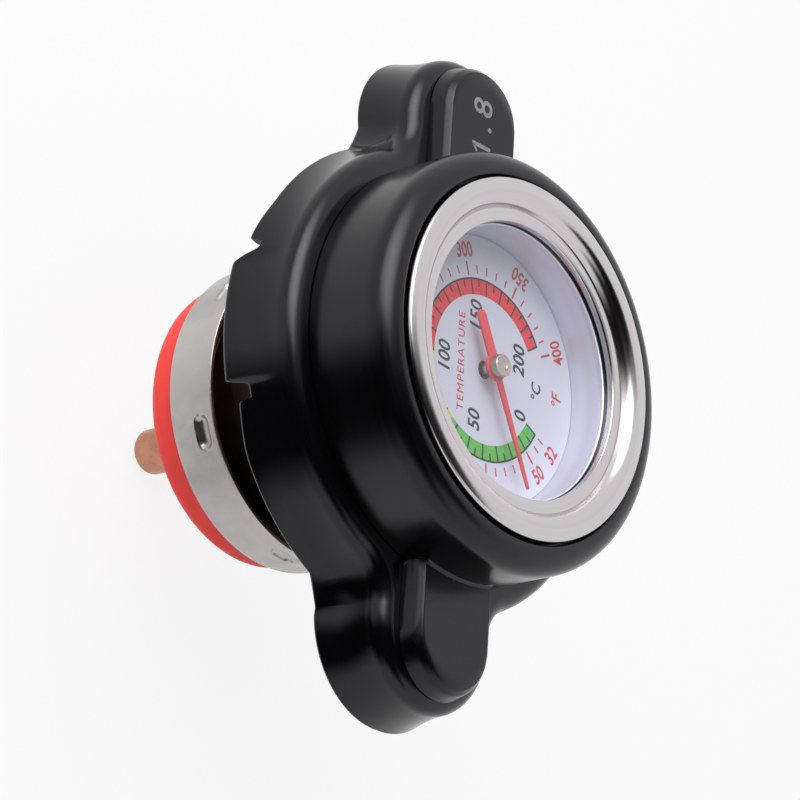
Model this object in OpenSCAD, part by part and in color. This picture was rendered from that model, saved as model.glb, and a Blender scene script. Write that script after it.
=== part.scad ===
// Radiator cap with a built-in thermometer.
// +Z points out of the dial, +Y to the top of the dial, +X along the ears.
// The origin is the centre of the plane where the upper gasket meets the filler neck.

/* [Filler neck] */
// Radius of the neck's bore, which the valve cup enters
neck_bore_r = 14.6; // [14.2:0.1:15.6]
// Radius of the neck's flange, which the lugs hold
neck_flange_r = 19; // [18.5:0.1:21]
// Thickness of the neck's flange
neck_flange_t = 1.8; // [1.5:0.1:2.4]

/* [Shell] */
// Thickness of the pressed sheet
sheet_t = 1; // [0.7:0.05:1.2]
// Gap between the neck's flange and the shell's wall
flange_clear = 0.6; // [0.3:0.1:1.2]
// Outer radius of the shell's shoulder
shoulder_r = 1.5; // [1.3:0.1:2]
// Depth of the skirt's edge below the gasket's face
skirt_drop = 1.5; // [1:0.1:1.6]
// Depth of the skirt's edge below the gasket's face at the tip of an ear
ear_drop = 2.4; // [1.6:0.1:3]
// How far the skirt flares out at its edge
skirt_flare = 1.3; // [0.5:0.1:2]
// How far the skirt flares out at the tip of an ear
ear_flare = 0.8; // [0.3:0.1:1.6]
// Extra flare of the skirt in the hollow corner beside an ear
corner_flare = 0.4; // [0:0.1:0.6]
// Length of an ear beyond the shell's wall
ear_len = 9.2; // [8.6:0.1:12]
// Half width of an ear at its shoulder
ear_half = 7.2; // [6.6:0.1:7.6]
// Radius of the hollow corner beside an ear
ear_fillet = 4; // [3.2:0.1:4.4]
// Half angle of a lug
lug_half_angle = 14.5; // [10:0.5:20]
// How far a lug's lip reaches under the neck's flange
lug_bite = 1.6; // [1:0.1:2]
// How far a lug flares out at its edge
lug_flare = 1.3; // [0.6:0.1:1.5]
// Width of the relief notch beside a lug, as an angle
notch_angle = 4; // [2:0.5:5]
// Height of the relief notch above the skirt's edge
notch_h = 0.8; // [0.4:0.1:1.4]

/* [Housing] */
// Width of the shell's ledge around the housing, to the outside of its wall
ledge_w = 2.2; // [1.8:0.1:2.6]
// Thickness of the housing's floor
floor_t = 2; // [1.8:0.1:3]
// Width of the housing's front rim
rim_w = 2.4; // [2.1:0.1:3]
// Outer rounding of the front rim
rim_round = 1.8; // [0.5:0.1:2]
// Depth of the recess that takes the bezel
recess_depth = 1.7; // [1.2:0.1:2]
// Half width of a tab at its foot
tab_half = 5; // [4:0.1:5.6]
// Distance from the tip of a tab's foot to the tip of the ear's wall
tab_inset = 0.95; // [0.3:0.05:2]
// Thickness of a tab
tab_t = 1.95; // [1.4:0.05:2.6]
// Height of the bevel along a tab's top edge
tab_bevel_h = 0.75; // [0.3:0.05:1]
// Width of the bevel along a tab's top edge
tab_bevel_w = 0.85; // [0.3:0.05:1.2]
// Inward lean of a tab's side
tab_lean = 0.35; // [0:0.05:0.6]
// Radius of the hollow corner between a tab and the housing
tab_root_r = 0.4; // [0.2:0.1:2.4]

/* [Gauge] */
// Gap around the bezel
bezel_gap = 0.25; // [0.1:0.05:0.5]
// Width of the bezel ring
bezel_w = 3.85; // [3.2:0.05:4]
// Radius of the bezel's rounded top
bezel_arc_r = 2.15; // [2.1:0.05:2.6]
// Depth of the bezel's base below the top of the glass
bezel_base = 0.4; // [0.2:0.05:0.6]
// Thickness of the glass
lens_t = 1.2; // [0.8:0.1:1.6]
// How far the glass goes under the bezel
lens_lip = 0.7; // [0.4:0.05:1]
// Thickness of the ring under the glass
lens_gasket_t = 0.6; // [0.3:0.05:1]
// Sheet thickness of the gauge's case
case_t = 0.5; // [0.3:0.05:0.6]
// Height of the shelf under the dial
shelf_h = 0.5; // [0.3:0.05:1]
// Width of the shelf under the dial
shelf_w = 1; // [0.5:0.1:2]
// Thickness of the dial
dial_t = 0.4; // [0.2:0.05:0.6]
// Free height between the dial and the ring under the glass
dial_room = 2.1; // [2.1:0.05:3]
// Radius of the hole in the dial
dial_hole_r = 0.8; // [0.6:0.05:1.2]
// Turn of the dial from the cap's own axes
dial_turn = 2.5; // [-5:0.5:5]
// Temperature shown at rest, in degrees Celsius
reading_c = 23; // [0:1:200]

/* [Pointer] */
// Height of the pointer above the dial
pointer_gap = 1.1; // [0.5:0.05:1.2]
// Thickness of the pointer
pointer_t = 0.3; // [0.2:0.05:0.4]
// Length of the pointer's needle
pointer_len = 10.8; // [8:0.1:11]
// Length of the pointer's tail
pointer_tail = 5.1; // [3:0.1:6]
// Width of the tail
tail_w = 1.05; // [0.6:0.05:1.4]
// Width of the needle at the hub
needle_w = 0.65; // [0.4:0.05:1]
// Width of the needle at its tip
tip_w = 0.24; // [0.15:0.01:0.4]
// Radius of the pointer's eye
eye_r = 1.2; // [1:0.05:1.6]
// Radius of the button on the pointer
hub_r = 1; // [0.7:0.05:1.2]
// Height of the button on the pointer
hub_h = 0.5; // [0.2:0.05:0.7]
// Radius of the spindle
spindle_r = 0.45; // [0.3:0.05:0.55]

/* [Probe] */
// Outer radius of the probe
probe_r = 2.1; // [2:0.05:2.2]
// Wall of the probe
probe_wall = 0.4; // [0.25:0.05:0.45]
// Depth of the probe's tip below the gasket's face
probe_depth = 32.9; // [30:0.1:60]
// Rounding of the probe's tip
tip_round = 0.9; // [0.3:0.1:1.5]
// Thickness of the probe's closed end
tip_t = 1; // [0.6:0.1:1.6]
// Number of turns of the bimetal coil
coil_turns = 10; // [6:1:14]
// Radius of the bimetal coil's middle line
coil_r = 1.15; // [1:0.05:1.2]
// Half thickness of the bimetal strip
coil_wire_r = 0.2; // [0.1:0.01:0.22]
// Length of the plug in the probe's tip
anchor_len = 2; // [1:0.1:4]
// Depth of the spindle's lower end below the gasket's face
spindle_drop = 8; // [4:0.5:10]

/* [Stem] */
// Radius of the threaded stem
stem_r = 4; // [3.6:0.05:4.2]
// Radius of the stem's collar
collar_r = 5; // [4.8:0.05:6]
// Thickness of the stem's collar
collar_t = 0.7; // [0.4:0.05:0.9]
// Section radius of the O-ring under the collar
o_ring_r = 0.35; // [0.2:0.05:0.4]
// Width of the nut across its flats
nut_flats = 12; // [11:0.5:13]
// Height of the nut
nut_h = 4; // [3:0.1:5]
// Radius of the washer
washer_r = 6.5; // [6:0.1:7.5]
// Thickness of the washer
washer_t = 0.8; // [0.5:0.1:1.2]
// Length of thread below the nut
stem_end = 1; // [0.5:0.1:2]

/* [Upper seal] */
// Thickness of the upper gasket
gasket_t = 2.6; // [2:0.1:3.5]
// Distance from the gasket's edge to the edge of the neck's flange
gasket_inset = 2; // [1.9:0.1:3]
// Thickness of the spring disc behind the gasket
disc_t = 0.4; // [0.2:0.05:0.6]

/* [Pressure valve] */
// Gap between the valve cup and the neck's bore
neck_clear = 0.8; // [0.4:0.1:1.2]
// Sheet thickness of the valve cup
cup_t = 0.6; // [0.4:0.05:0.7]
// Depth of the cup's rim below the gasket's face
cup_drop = 11.1; // [10:0.1:14]
// Height of the cup
cup_h = 5.9; // [5.7:0.1:8]
// Outer rounding of the cup's bottom edge
cup_round = 1; // [0.7:0.1:1.4]
// Distance from the cup's rim to the middle of the dimples
dimple_down = 2; // [1.6:0.1:2.3]
// Number of dimples
dimple_count = 6; // [3:1:8]
// Turn of the first dimple about the cap's axis
dimple_turn = 54; // [0:1:60]
// Radius of a dimple's hollow
dimple_r = 0.7; // [0.5:0.05:0.8]
// Length of a dimple's straight part
dimple_len = 1.5; // [0.8:0.1:2]
// Depth of a dimple's middle line below the cup's outside
dimple_depth = 0.4; // [0.3:0.05:0.5]
// Sheet thickness of the spring holder
holder_t = 0.5; // [0.4:0.05:0.6]
// Thickness of the spring holder's top
holder_top_t = 0.8; // [0.5:0.05:1.2]
// Width of the spring holder's flange
holder_flange_w = 1.9; // [1.2:0.1:2.2]
// Wire radius of the pressure spring
spring_wire_r = 0.8; // [0.5:0.05:0.9]
// Number of turns of the pressure spring
spring_turns = 5; // [3:1:6]
// Distance from the seal's outside to the cup's outside
seal_inset = 1.3; // [1:0.1:2.5]
// Thickness of the red seal
seal_t = 3.2; // [3.1:0.1:4]
// Rounding of the seal's lower outer edge
seal_round = 0.7; // [0.3:0.1:1]
// Thickness of the seal's clamped inner part
seal_web_t = 1.5; // [1:0.1:1.7]
// Radius of the plate that clamps the seal
retainer_r = 9; // [8:0.1:9.6]
// Sheet thickness of that plate and its eyelet
retainer_t = 0.5; // [0.3:0.05:0.6]
// Outer radius of the eyelet
eyelet_r = 3.9; // [3.85:0.05:4.3]
// Width of the eyelet's turned-over edge
eyelet_edge = 1.1; // [0.6:0.1:1.6]

/* [Vacuum valve] */
// Gap between the probe and the vacuum valve's stem
probe_clear = 0.3; // [0.2:0.05:0.4]
// Wall of the vacuum valve's stem
vacuum_wall = 0.6; // [0.4:0.05:0.65]
// Radius of the vacuum valve's disc
vacuum_r = 5.6; // [5:0.1:7]
// Thickness of the vacuum valve's disc
vacuum_t = 0.6; // [0.4:0.05:0.7]
// Thickness of the vacuum valve's rubber ring
vacuum_seal_t = 0.5; // [0.3:0.05:0.55]
// Free height of the vacuum spring
vacuum_room = 2.7; // [2.4:0.1:4]
// Wire radius of the vacuum spring
vacuum_wire_r = 0.22; // [0.15:0.01:0.25]
// Number of turns of the vacuum spring
vacuum_turns = 2; // [2:1:3]
// Width of the ring that holds the vacuum spring
clip_w = 1.6; // [1.4:0.1:2]
// Thickness of the ring that holds the vacuum spring
clip_t = 0.5; // [0.3:0.05:0.8]

/* [Fits] */
// Radial clearance of a turning fit
run_fit = 0.05; // [0.02:0.01:0.1]
// Radial clearance of a part that is put in by hand
slip_fit = 0.15; // [0.08:0.01:0.25]
// Radial clearance of the valve cup on the spring holder
slide_fit = 0.4; // [0.2:0.05:0.5]
// Gap at a stop, and between faces that only come close
stop_gap = 0.1; // [0.05:0.01:0.2]

/* [Hidden] */
$fn = 96;

// Springs: six sides to the wire, eight straight stretches to a turn, and the share of a turn's
// radius at which these stretches pass closest to the axis
tube_sides = 6;
rings_per_turn = 8;
turn_inner = cos(180 / rings_per_turn);

// Heights of the clamped stack, from the gasket's face up
disc_z = gasket_t;
shell_under_z = disc_z + disc_t;
shell_top_z = shell_under_z + sheet_t;
floor_z = shell_top_z + floor_t;
case_z = floor_z + stop_gap;
case_floor_z = case_z + case_t;
dial_z = case_floor_z + shelf_h;
dial_top_z = dial_z + dial_t;
lens_ledge_z = dial_top_z + dial_room;
lens_z = lens_ledge_z + lens_gasket_t;
lens_top_z = lens_z + lens_t;
bezel_z = lens_top_z - bezel_base;
seat_z = bezel_z - case_t;
rim_top_z = seat_z + recess_depth;

// Radii, from the neck's flange in to the glass
cap_r = neck_flange_r + flange_clear + sheet_t;
housing_r = cap_r - ledge_w;
recess_r = housing_r - rim_w;
bezel_r = recess_r - bezel_gap;
glass_r = bezel_r - bezel_w;
lens_r = glass_r + lens_lip;
pocket_r = lens_r + slip_fit;
case_r = pocket_r + case_t;
housing_bore_r = case_r + slip_fit;
bezel_mid_r = glass_r + bezel_arc_r;

// Ear outline, at the outside of the wall
ear_reach = cap_r + ear_len;
ear_tip_x = ear_reach - ear_half;
corner_r = cap_r + ear_fillet;
corner_y = ear_half + ear_fillet;
corner_x = sqrt(corner_r * corner_r - corner_y * corner_y);
corner_angle = atan2(corner_y, corner_x);
lug_drop = neck_flange_t + sheet_t;
lug_in_r = neck_flange_r - lug_bite;

// Tab
tab_foot_reach = ear_reach - tab_inset;
tab_end_x = tab_foot_reach - tab_half;
tab_top_z = shell_top_z + tab_t;
tab_mid_z = tab_top_z - tab_bevel_h;
tab_mid_half = tab_half - tab_lean;
tab_top_half = tab_mid_half - tab_bevel_w;

// Stem and probe
stem_hole_r = stem_r + slip_fit;
collar_z = case_z - collar_t;
o_ring_mid_r = stem_hole_r + o_ring_r;
groove_z = collar_z - 2 * o_ring_r;
holder_top_z = disc_z - holder_top_t;
washer_z = holder_top_z - washer_t;
nut_z = washer_z - nut_h;
stem_z = nut_z - stem_end;
probe_top_z = holder_top_z;
probe_bore_r = probe_r - probe_wall;
probe_floor_z = tip_t - probe_depth;
anchor_top_z = probe_floor_z + anchor_len;

// Pressure valve
cup_r = neck_bore_r - neck_clear;
cup_in_r = cup_r - cup_t;
cup_rim_z = -cup_drop;
cup_z = cup_rim_z - cup_h;
cup_floor_z = cup_z + cup_t;
dimple_z = cup_rim_z - dimple_down;
dimple_line_r = cup_r - dimple_depth;
dimple_out_r = dimple_r + cup_t;
holder_flange_r = cup_in_r - slide_fit;
dimple_side = dimple_line_r - holder_flange_r;
holder_flange_top_z = dimple_z - sqrt(dimple_out_r * dimple_out_r - dimple_side * dimple_side) - stop_gap;
holder_z = holder_flange_top_z - holder_t;
holder_r = holder_flange_r - holder_flange_w;
holder_in_r = holder_r - holder_t;
spring_r = holder_in_r - slide_fit - spring_wire_r;
gasket_in_r = holder_r + slip_fit;
gasket_r = neck_flange_r - gasket_inset;
disc_r = gasket_r;
seal_r = cup_r - seal_inset;
seal_z = cup_z - seal_t;
web_z = cup_z - seal_web_t;
retainer_z = web_z - retainer_t;
eyelet_in_r = eyelet_r - retainer_t;
eyelet_top_z = cup_floor_z + retainer_t;

// Vacuum valve
vacuum_in_r = probe_r + probe_clear;
vacuum_stem_r = vacuum_in_r + vacuum_wall;
vacuum_seal_z = retainer_z - vacuum_seal_t;
vacuum_z = vacuum_seal_z - vacuum_t;
clip_z = eyelet_top_z + vacuum_room;
vacuum_spring_r = (vacuum_stem_r + slip_fit + vacuum_wire_r) / turn_inner;

// Pointer
pointer_z = dial_top_z + pointer_gap;
pointer_top_z = pointer_z + pointer_t;
scale_half_span = 150;
degrees_per_c = 1.5;
pointer_angle = 90 + dial_turn + scale_half_span - degrees_per_c * reading_c;
spindle_foot_t = 0.5;
spindle_foot_r = coil_r + coil_wire_r;
spindle_collar_r = 2 * dial_hole_r + spindle_r;

// A turned piece, from the corners of its section
module turned(corners) {
    rotate_extrude()
        polygon(corners);
}

// A ring with a square section
module ring(r_in, r_out, z0, z1) {
    rotate_extrude()
        translate([r_in, z0])
            square([r_out - r_in, z1 - z0]);
}

// Section of a round block whose outer edge at the bottom is rounded
module round_foot_section(r, z0, z1, round_r) {
    translate([0, z0 + round_r])
        square([r, z1 - z0 - round_r]);
    translate([0, z0])
        square([r - round_r, round_r]);
    translate([r - round_r, z0 + round_r])
        circle(round_r);
}

// Springs: one unbroken tube along a helix
function helix_point(r, z0, z1, turns, k) =
    let (a = 360 * k / rings_per_turn, s = k / (turns * rings_per_turn))
    [r * cos(a), r * sin(a), z0 + (z1 - z0) * s];
function helix_line(r, z0, z1, turns) =
    [for (k = [0 : turns * rings_per_turn]) helix_point(r, z0, z1, turns, k)];
function tube_ring(p, k, wire_r) =
    let (a = 360 * k / rings_per_turn)
    [for (j = [0 : tube_sides - 1])
        let (b = 360 * j / tube_sides)
        [p[0] + wire_r * cos(b) * cos(a), p[1] + wire_r * cos(b) * sin(a), p[2] + wire_r * sin(b)]];
function least_gap(line, wire_r) =
    min([for (i = [0 : len(line) - 1], j = [i + rings_per_turn / 2 : 1 : len(line) - 1])
        norm(line[i] - line[j])]) - 2 * wire_r;

module helix_spring(name, r, wire_r, z0, z1, turns) {
    line = helix_line(r, z0, z1, turns);
    count = len(line);
    points = [for (k = [0 : count - 1]) each tube_ring(line[k], k, wire_r)];
    sides = [for (k = [0 : count - 2], j = [0 : tube_sides - 1])
        let (a = k * tube_sides + j, b = k * tube_sides + (j + 1) % tube_sides,
             c = a + tube_sides, d = b + tube_sides)
        each [[a, b, d], [a, d, c]]];
    last = (count - 1) * tube_sides;
    caps = [for (j = [1 : tube_sides - 2]) each [[0, j + 1, j], [last, last + j, last + j + 1]]];
    echo(str(name, " least gap to itself, mm: ", least_gap(line, wire_r)));
    polyhedron(points, concat(sides, caps), convexity = 6);
}

// Shell outline: one quarter from the ear's tip to the lug, as points with their outward directions
tip_steps = 8;
corner_steps = 5;
side_steps = 6;
lug_steps = 3;
notch_slope = 0.4;
notch_near = 90 - lug_half_angle;
notch_far = notch_near - notch_angle;
wall_angles = concat(
    [for (k = [1 : side_steps]) corner_angle + (notch_far - corner_angle) * k / side_steps],
    [notch_far + notch_slope, notch_near - notch_slope, notch_near],
    [for (k = [1 : lug_steps]) notch_near + lug_half_angle * k / lug_steps]);
quarter_outline = concat(
    [for (k = [0 : tip_steps])
        let (a = 90 * k / tip_steps)
        [ear_tip_x + ear_half * cos(a), ear_half * sin(a), cos(a), sin(a)]],
    [for (k = [0 : corner_steps])
        let (a = 90 - (90 - corner_angle) * k / corner_steps)
        [corner_x - ear_fillet * cos(a), corner_y - ear_fillet * sin(a), cos(a), sin(a)]],
    [for (a = wall_angles) [cap_r * cos(a), cap_r * sin(a), cos(a), sin(a)]]);
quarter_count = len(quarter_outline);

// Depth and flare of the skirt's edge at each point of a quarter
first_lug = quarter_count - lug_steps - 1;
first_notch = quarter_count - lug_steps - 3;
ear_steps = tip_steps + corner_steps + 1;
function tip_share(k) = max(0, 1 - k / tip_steps);
function ear_share(k) = max(0, 1 - pow(k / ear_steps, 2));
function corner_share(k) = let (t = (k - tip_steps - 1) / corner_steps) max(0, 4 * t * (1 - t));
quarter_edges = [for (k = [0 : quarter_count - 1])
    k >= first_lug ? [lug_drop, lug_flare]
    : k >= first_notch ? [skirt_drop - notch_h, skirt_flare]
    : [skirt_drop + (ear_drop - skirt_drop) * ear_share(k),
       skirt_flare + (ear_flare - skirt_flare) * tip_share(k) + corner_flare * corner_share(k)]];
half_outline = concat(quarter_outline,
    [for (k = [quarter_count - 2 : -1 : 0])
        let (p = quarter_outline[k]) [-p[0], p[1], -p[2], p[3]]]);
half_edges = concat(quarter_edges, [for (k = [quarter_count - 2 : -1 : 0]) quarter_edges[k]]);
half_count = len(half_outline);
outline = concat(half_outline,
    [for (k = [1 : half_count - 2]) let (p = half_outline[k]) [-p[0], -p[1], -p[2], -p[3]]]);
edges = concat(half_edges, [for (k = [1 : half_count - 2]) half_edges[k]]);

// Section of the shell: shoulder, flared wall, edge, and back up the inside
shoulder_steps = 4;
wall_steps = 4;
function shoulder_levels(r) =
    [for (k = [0 : shoulder_steps])
        let (a = 90 * k / shoulder_steps)
        [r * sin(a) - shoulder_r, shell_top_z - shoulder_r + r * cos(a)]];
function wall_levels(edge, inset) =
    let (top_z = shell_top_z - shoulder_r)
    [for (k = [1 : wall_steps])
        let (s = k / wall_steps)
        [edge[1] * s * s - inset, top_z - (top_z + edge[0]) * s]];
function backwards(list) = [for (k = [len(list) - 1 : -1 : 0]) list[k]];
function shell_levels(edge) = concat(
    shoulder_levels(shoulder_r),
    wall_levels(edge, 0),
    backwards(wall_levels(edge, sheet_t)),
    backwards(shoulder_levels(shoulder_r - sheet_t)));

module shell_pressing() {
    count = len(outline);
    levels = 2 * (shoulder_steps + 1 + wall_steps);
    points = concat(
        [for (i = [0 : count - 1]) each
            [for (level = shell_levels(edges[i]))
                let (p = outline[i])
                [p[0] + level[0] * p[2], p[1] + level[0] * p[3], level[1]]]],
        [[0, 0, shell_top_z], [0, 0, shell_under_z]]);
    walls = [for (i = [0 : count - 1], j = [0 : levels - 2])
        let (a = i * levels + j, b = ((i + 1) % count) * levels + j)
        each [[a, b, b + 1], [a, b + 1, a + 1]]];
    plates = [for (i = [0 : count - 1])
        let (a = i * levels, b = ((i + 1) % count) * levels)
        each [[count * levels, b, a],
              [count * levels + 1, a + levels - 1, b + levels - 1]]];
    polyhedron(points, concat(walls, plates), convexity = 8);
}

// Lip of a lug, turned in under the neck's flange and set into the lug's sheet
lip_sink = 0.05;
lip_end_angle = 0.6;
lip_half_angle = lug_half_angle - lip_end_angle;
module lug_lip() {
    rotate([0, 0, 90 - lip_half_angle])
        rotate_extrude(angle = 2 * lip_half_angle)
            translate([lug_in_r, lip_sink - lug_drop])
                square([cap_r - sheet_t / 2 + lug_flare / 2 - lug_in_r, sheet_t - lip_sink]);
}

module cap_shell() {
    color("#17181a")
        difference() {
            union() {
                shell_pressing();
                for (side = [0, 180])
                    rotate([0, 0, side])
                        lug_lip();
            }
            translate([0, 0, shell_under_z - sheet_t])
                cylinder(r = stem_hole_r, h = 3 * sheet_t);
        }
}

// A tab: bevelled bar with a round end, from the housing out along +X
module tab_bar(half0, half1, z0, z1) {
    rotate([90, 0, 90])
        linear_extrude(tab_end_x)
            polygon([[-half0, z0], [half0, z0], [half1, z1], [-half1, z1]]);
    translate([tab_end_x, 0, z0])
        cylinder(r1 = half0, r2 = half1, h = z1 - z0);
}

module tab_root() {
    intersection() {
        rotate_extrude()
            difference() {
                translate([0, shell_top_z])
                    square([housing_r + tab_root_r, tab_t + tab_root_r]);
                translate([housing_r + tab_root_r, tab_top_z + tab_root_r])
                    circle(tab_root_r);
            }
        translate([0, -tab_top_half, shell_top_z])
            cube([ear_reach, 2 * tab_top_half, 2 * housing_r]);
    }
}

module housing_section() {
    translate([0, shell_top_z])
        square([housing_r, rim_top_z - rim_round - shell_top_z]);
    translate([0, rim_top_z - rim_round])
        square([housing_r - rim_round, rim_round]);
    translate([housing_r - rim_round, rim_top_z - rim_round])
        circle(rim_round);
}

module gauge_housing() {
    color("#232426")
        difference() {
            union() {
                rotate_extrude()
                    intersection() {
                        housing_section();
                        translate([0, shell_top_z])
                            square([housing_r, rim_top_z]);
                    }
                for (side = [0, 180])
                    rotate([0, 0, side]) {
                        tab_bar(tab_half, tab_mid_half, shell_top_z, tab_mid_z);
                        tab_bar(tab_mid_half, tab_top_half, tab_mid_z, tab_top_z);
                        tab_root();
                    }
            }
            translate([0, 0, floor_z])
                cylinder(r = housing_bore_r, h = rim_top_z);
            translate([0, 0, seat_z])
                cylinder(r = recess_r, h = rim_top_z);
            translate([0, 0, groove_z])
                cylinder(r = collar_r + slip_fit, h = rim_top_z);
            translate([0, 0, shell_under_z])
                cylinder(r = stem_hole_r, h = rim_top_z);
        }
}

module gauge_case() {
    case_in_r = probe_r + run_fit;
    shelf_r = glass_r - shelf_w;
    wall_r = glass_r + case_t;
    flange_r = bezel_r - bezel_gap;
    ledge_under_z = lens_ledge_z - case_t;
    color("#cfd3d8")
        turned([[case_in_r, case_z], [wall_r, case_z], [wall_r, ledge_under_z], [case_r, ledge_under_z],
                [case_r, seat_z], [flange_r, seat_z], [flange_r, bezel_z], [pocket_r, bezel_z],
                [pocket_r, lens_ledge_z], [glass_r, lens_ledge_z], [glass_r, dial_z], [shelf_r, dial_z],
                [shelf_r, case_floor_z], [case_in_r, case_floor_z]]);
}

module bezel() {
    color("#e4e4e2")
        rotate_extrude()
            difference() {
                intersection() {
                    translate([glass_r, bezel_z])
                        square([bezel_w, 2 * bezel_arc_r]);
                    translate([bezel_mid_r, bezel_z])
                        circle(bezel_arc_r);
                }
                square([pocket_r, lens_top_z]);
            }
}

module lens() {
    color("#dfeaf0", 0.3)
        translate([0, 0, lens_z])
            cylinder(r = lens_r, h = lens_t);
}

module lens_gasket() {
    color("#1c1c1e")
        ring(glass_r, lens_r, lens_ledge_z, lens_z);
}

module dial_plate() {
    color("#eef0f6")
        ring(dial_hole_r, glass_r - slip_fit, dial_z, dial_top_z);
}

module pointer() {
    color("#d8262e")
        rotate([0, 0, pointer_angle])
            translate([0, 0, pointer_z])
                linear_extrude(pointer_t)
                    difference() {
                        union() {
                            circle(eye_r);
                            polygon([[0, -needle_w / 2], [pointer_len, -tip_w / 2],
                                     [pointer_len, tip_w / 2], [0, needle_w / 2]]);
                            translate([tail_w / 2 - pointer_tail, -tail_w / 2])
                                square([pointer_tail - tail_w / 2, tail_w]);
                            translate([tail_w / 2 - pointer_tail, 0])
                                circle(tail_w / 2);
                        }
                        circle(spindle_r + run_fit);
                    }
}

module pointer_hub() {
    color("#c9bcb2")
        translate([0, 0, pointer_top_z])
            cylinder(r = hub_r, h = hub_h);
}

module spindle() {
    color("#3a3a3c") {
        translate([0, 0, -spindle_drop])
            cylinder(r = spindle_r, h = pointer_top_z + spindle_drop);
        translate([0, 0, -spindle_drop])
            cylinder(r = spindle_foot_r, h = spindle_foot_t);
    }
}

module spindle_bush() {
    bore_r = spindle_r + run_fit;
    foot_z = probe_top_z + stop_gap;
    color("#b99a4b")
        turned([[bore_r, foot_z], [probe_r, foot_z], [probe_r, case_floor_z],
                [spindle_collar_r, case_floor_z], [spindle_collar_r, dial_z], [bore_r, dial_z]]);
}

module bimetal_coil() {
    color("#8c8f94")
        helix_spring("bimetal_coil", coil_r, coil_wire_r, anchor_top_z + coil_wire_r,
                     -spindle_drop - coil_wire_r - stop_gap, coil_turns);
}

module coil_anchor() {
    color("#b99a4b")
        translate([0, 0, probe_floor_z])
            cylinder(r = probe_bore_r - run_fit, h = anchor_len);
}

module probe_tube() {
    color("#b87348")
        difference() {
            rotate_extrude()
                round_foot_section(probe_r, -probe_depth, probe_top_z, tip_round);
            translate([0, 0, probe_floor_z])
                cylinder(r = probe_bore_r, h = probe_depth + probe_top_z);
        }
}

module stem_bush() {
    bore_r = probe_r + run_fit;
    color("#c0b06a")
        turned([[bore_r, stem_z], [stem_r, stem_z], [stem_r, collar_z], [collar_r, collar_z],
                [collar_r, case_z], [bore_r, case_z]]);
}

module stem_o_ring() {
    color("#161616")
        rotate_extrude()
            translate([o_ring_mid_r, groove_z + o_ring_r])
                circle(o_ring_r);
}

module stem_nut() {
    color("#b9bcc0")
        difference() {
            translate([0, 0, nut_z])
                cylinder(r = nut_flats / 2 / cos(30), h = nut_h, $fn = 6);
            translate([0, 0, nut_z - nut_h])
                cylinder(r = stem_r + run_fit, h = 3 * nut_h);
        }
}

module nut_washer() {
    color("#b9bcc0")
        ring(stem_hole_r, washer_r, washer_z, holder_top_z);
}

module diaphragm() {
    color("#c6c2b4")
        ring(stem_hole_r, disc_r, disc_z, shell_under_z);
}

module upper_gasket() {
    color("#7d2420")
        ring(gasket_in_r, gasket_r, 0, disc_z);
}

module spring_holder() {
    color("#8a6a48")
        turned([[stem_hole_r, disc_z], [stem_hole_r, holder_top_z], [holder_in_r, holder_top_z],
                [holder_in_r, holder_z], [holder_flange_r, holder_z], [holder_flange_r, holder_flange_top_z],
                [holder_r, holder_flange_top_z], [holder_r, disc_z]]);
}

module pressure_spring() {
    color("#9ea2a6")
        helix_spring("pressure_spring", spring_r, spring_wire_r, cup_floor_z + spring_wire_r + stop_gap,
                     holder_top_z - spring_wire_r - stop_gap, spring_turns);
}

// One dimple as a bar with round ends, lying along the cup's wall
module dimple_bar(r) {
    translate([dimple_line_r, 0, dimple_z])
        rotate([90, 0, 0]) {
            translate([0, 0, -dimple_len / 2])
                cylinder(r = r, h = dimple_len);
            for (end = [-1, 1])
                translate([0, 0, end * dimple_len / 2])
                    sphere(r);
        }
}

module dimples(r) {
    for (k = [0 : dimple_count - 1])
        rotate([0, 0, dimple_turn + 360 * k / dimple_count])
            dimple_bar(r);
}

module valve_cup() {
    color("#c4c4c0")
        difference() {
            union() {
                rotate_extrude()
                    difference() {
                        intersection() {
                            round_foot_section(cup_r, cup_z, cup_rim_z, cup_round);
                            translate([0, cup_z])
                                square([cup_r, cup_h]);
                        }
                        round_foot_section(cup_in_r, cup_floor_z, cup_rim_z + cup_h, cup_round - cup_t);
                    }
                intersection() {
                    dimples(dimple_out_r);
                    translate([0, 0, cup_z])
                        cylinder(r = cup_r - cup_t / 2, h = cup_h);
                }
            }
            dimples(dimple_r);
            translate([0, 0, cup_z - cup_t])
                cylinder(r = eyelet_r + run_fit, h = 3 * cup_t);
        }
}

module lower_seal() {
    color("#e2352c")
        rotate_extrude()
            difference() {
                intersection() {
                    round_foot_section(seal_r, seal_z, cup_z, seal_round);
                    translate([eyelet_r + run_fit, seal_z])
                        square([seal_r, seal_t]);
                }
                translate([0, seal_z])
                    square([retainer_r + slip_fit, web_z - seal_z]);
            }
}

module seal_retainer() {
    edge_r = eyelet_r + eyelet_edge;
    color("#bcbdbb")
        turned([[eyelet_in_r, retainer_z], [retainer_r, retainer_z], [retainer_r, web_z], [eyelet_r, web_z],
                [eyelet_r, cup_floor_z], [edge_r, cup_floor_z], [edge_r, eyelet_top_z],
                [eyelet_in_r, eyelet_top_z]]);
}

module vacuum_disc() {
    stem_top_z = clip_z + clip_t;
    color("#c2c3c0")
        turned([[vacuum_in_r, vacuum_z], [vacuum_r, vacuum_z], [vacuum_r, vacuum_seal_z],
                [vacuum_stem_r, vacuum_seal_z], [vacuum_stem_r, stem_top_z], [vacuum_in_r, stem_top_z]]);
}

module vacuum_seal() {
    color("#26221f")
        ring(vacuum_stem_r + run_fit, vacuum_r - slip_fit, vacuum_seal_z, retainer_z);
}

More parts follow.
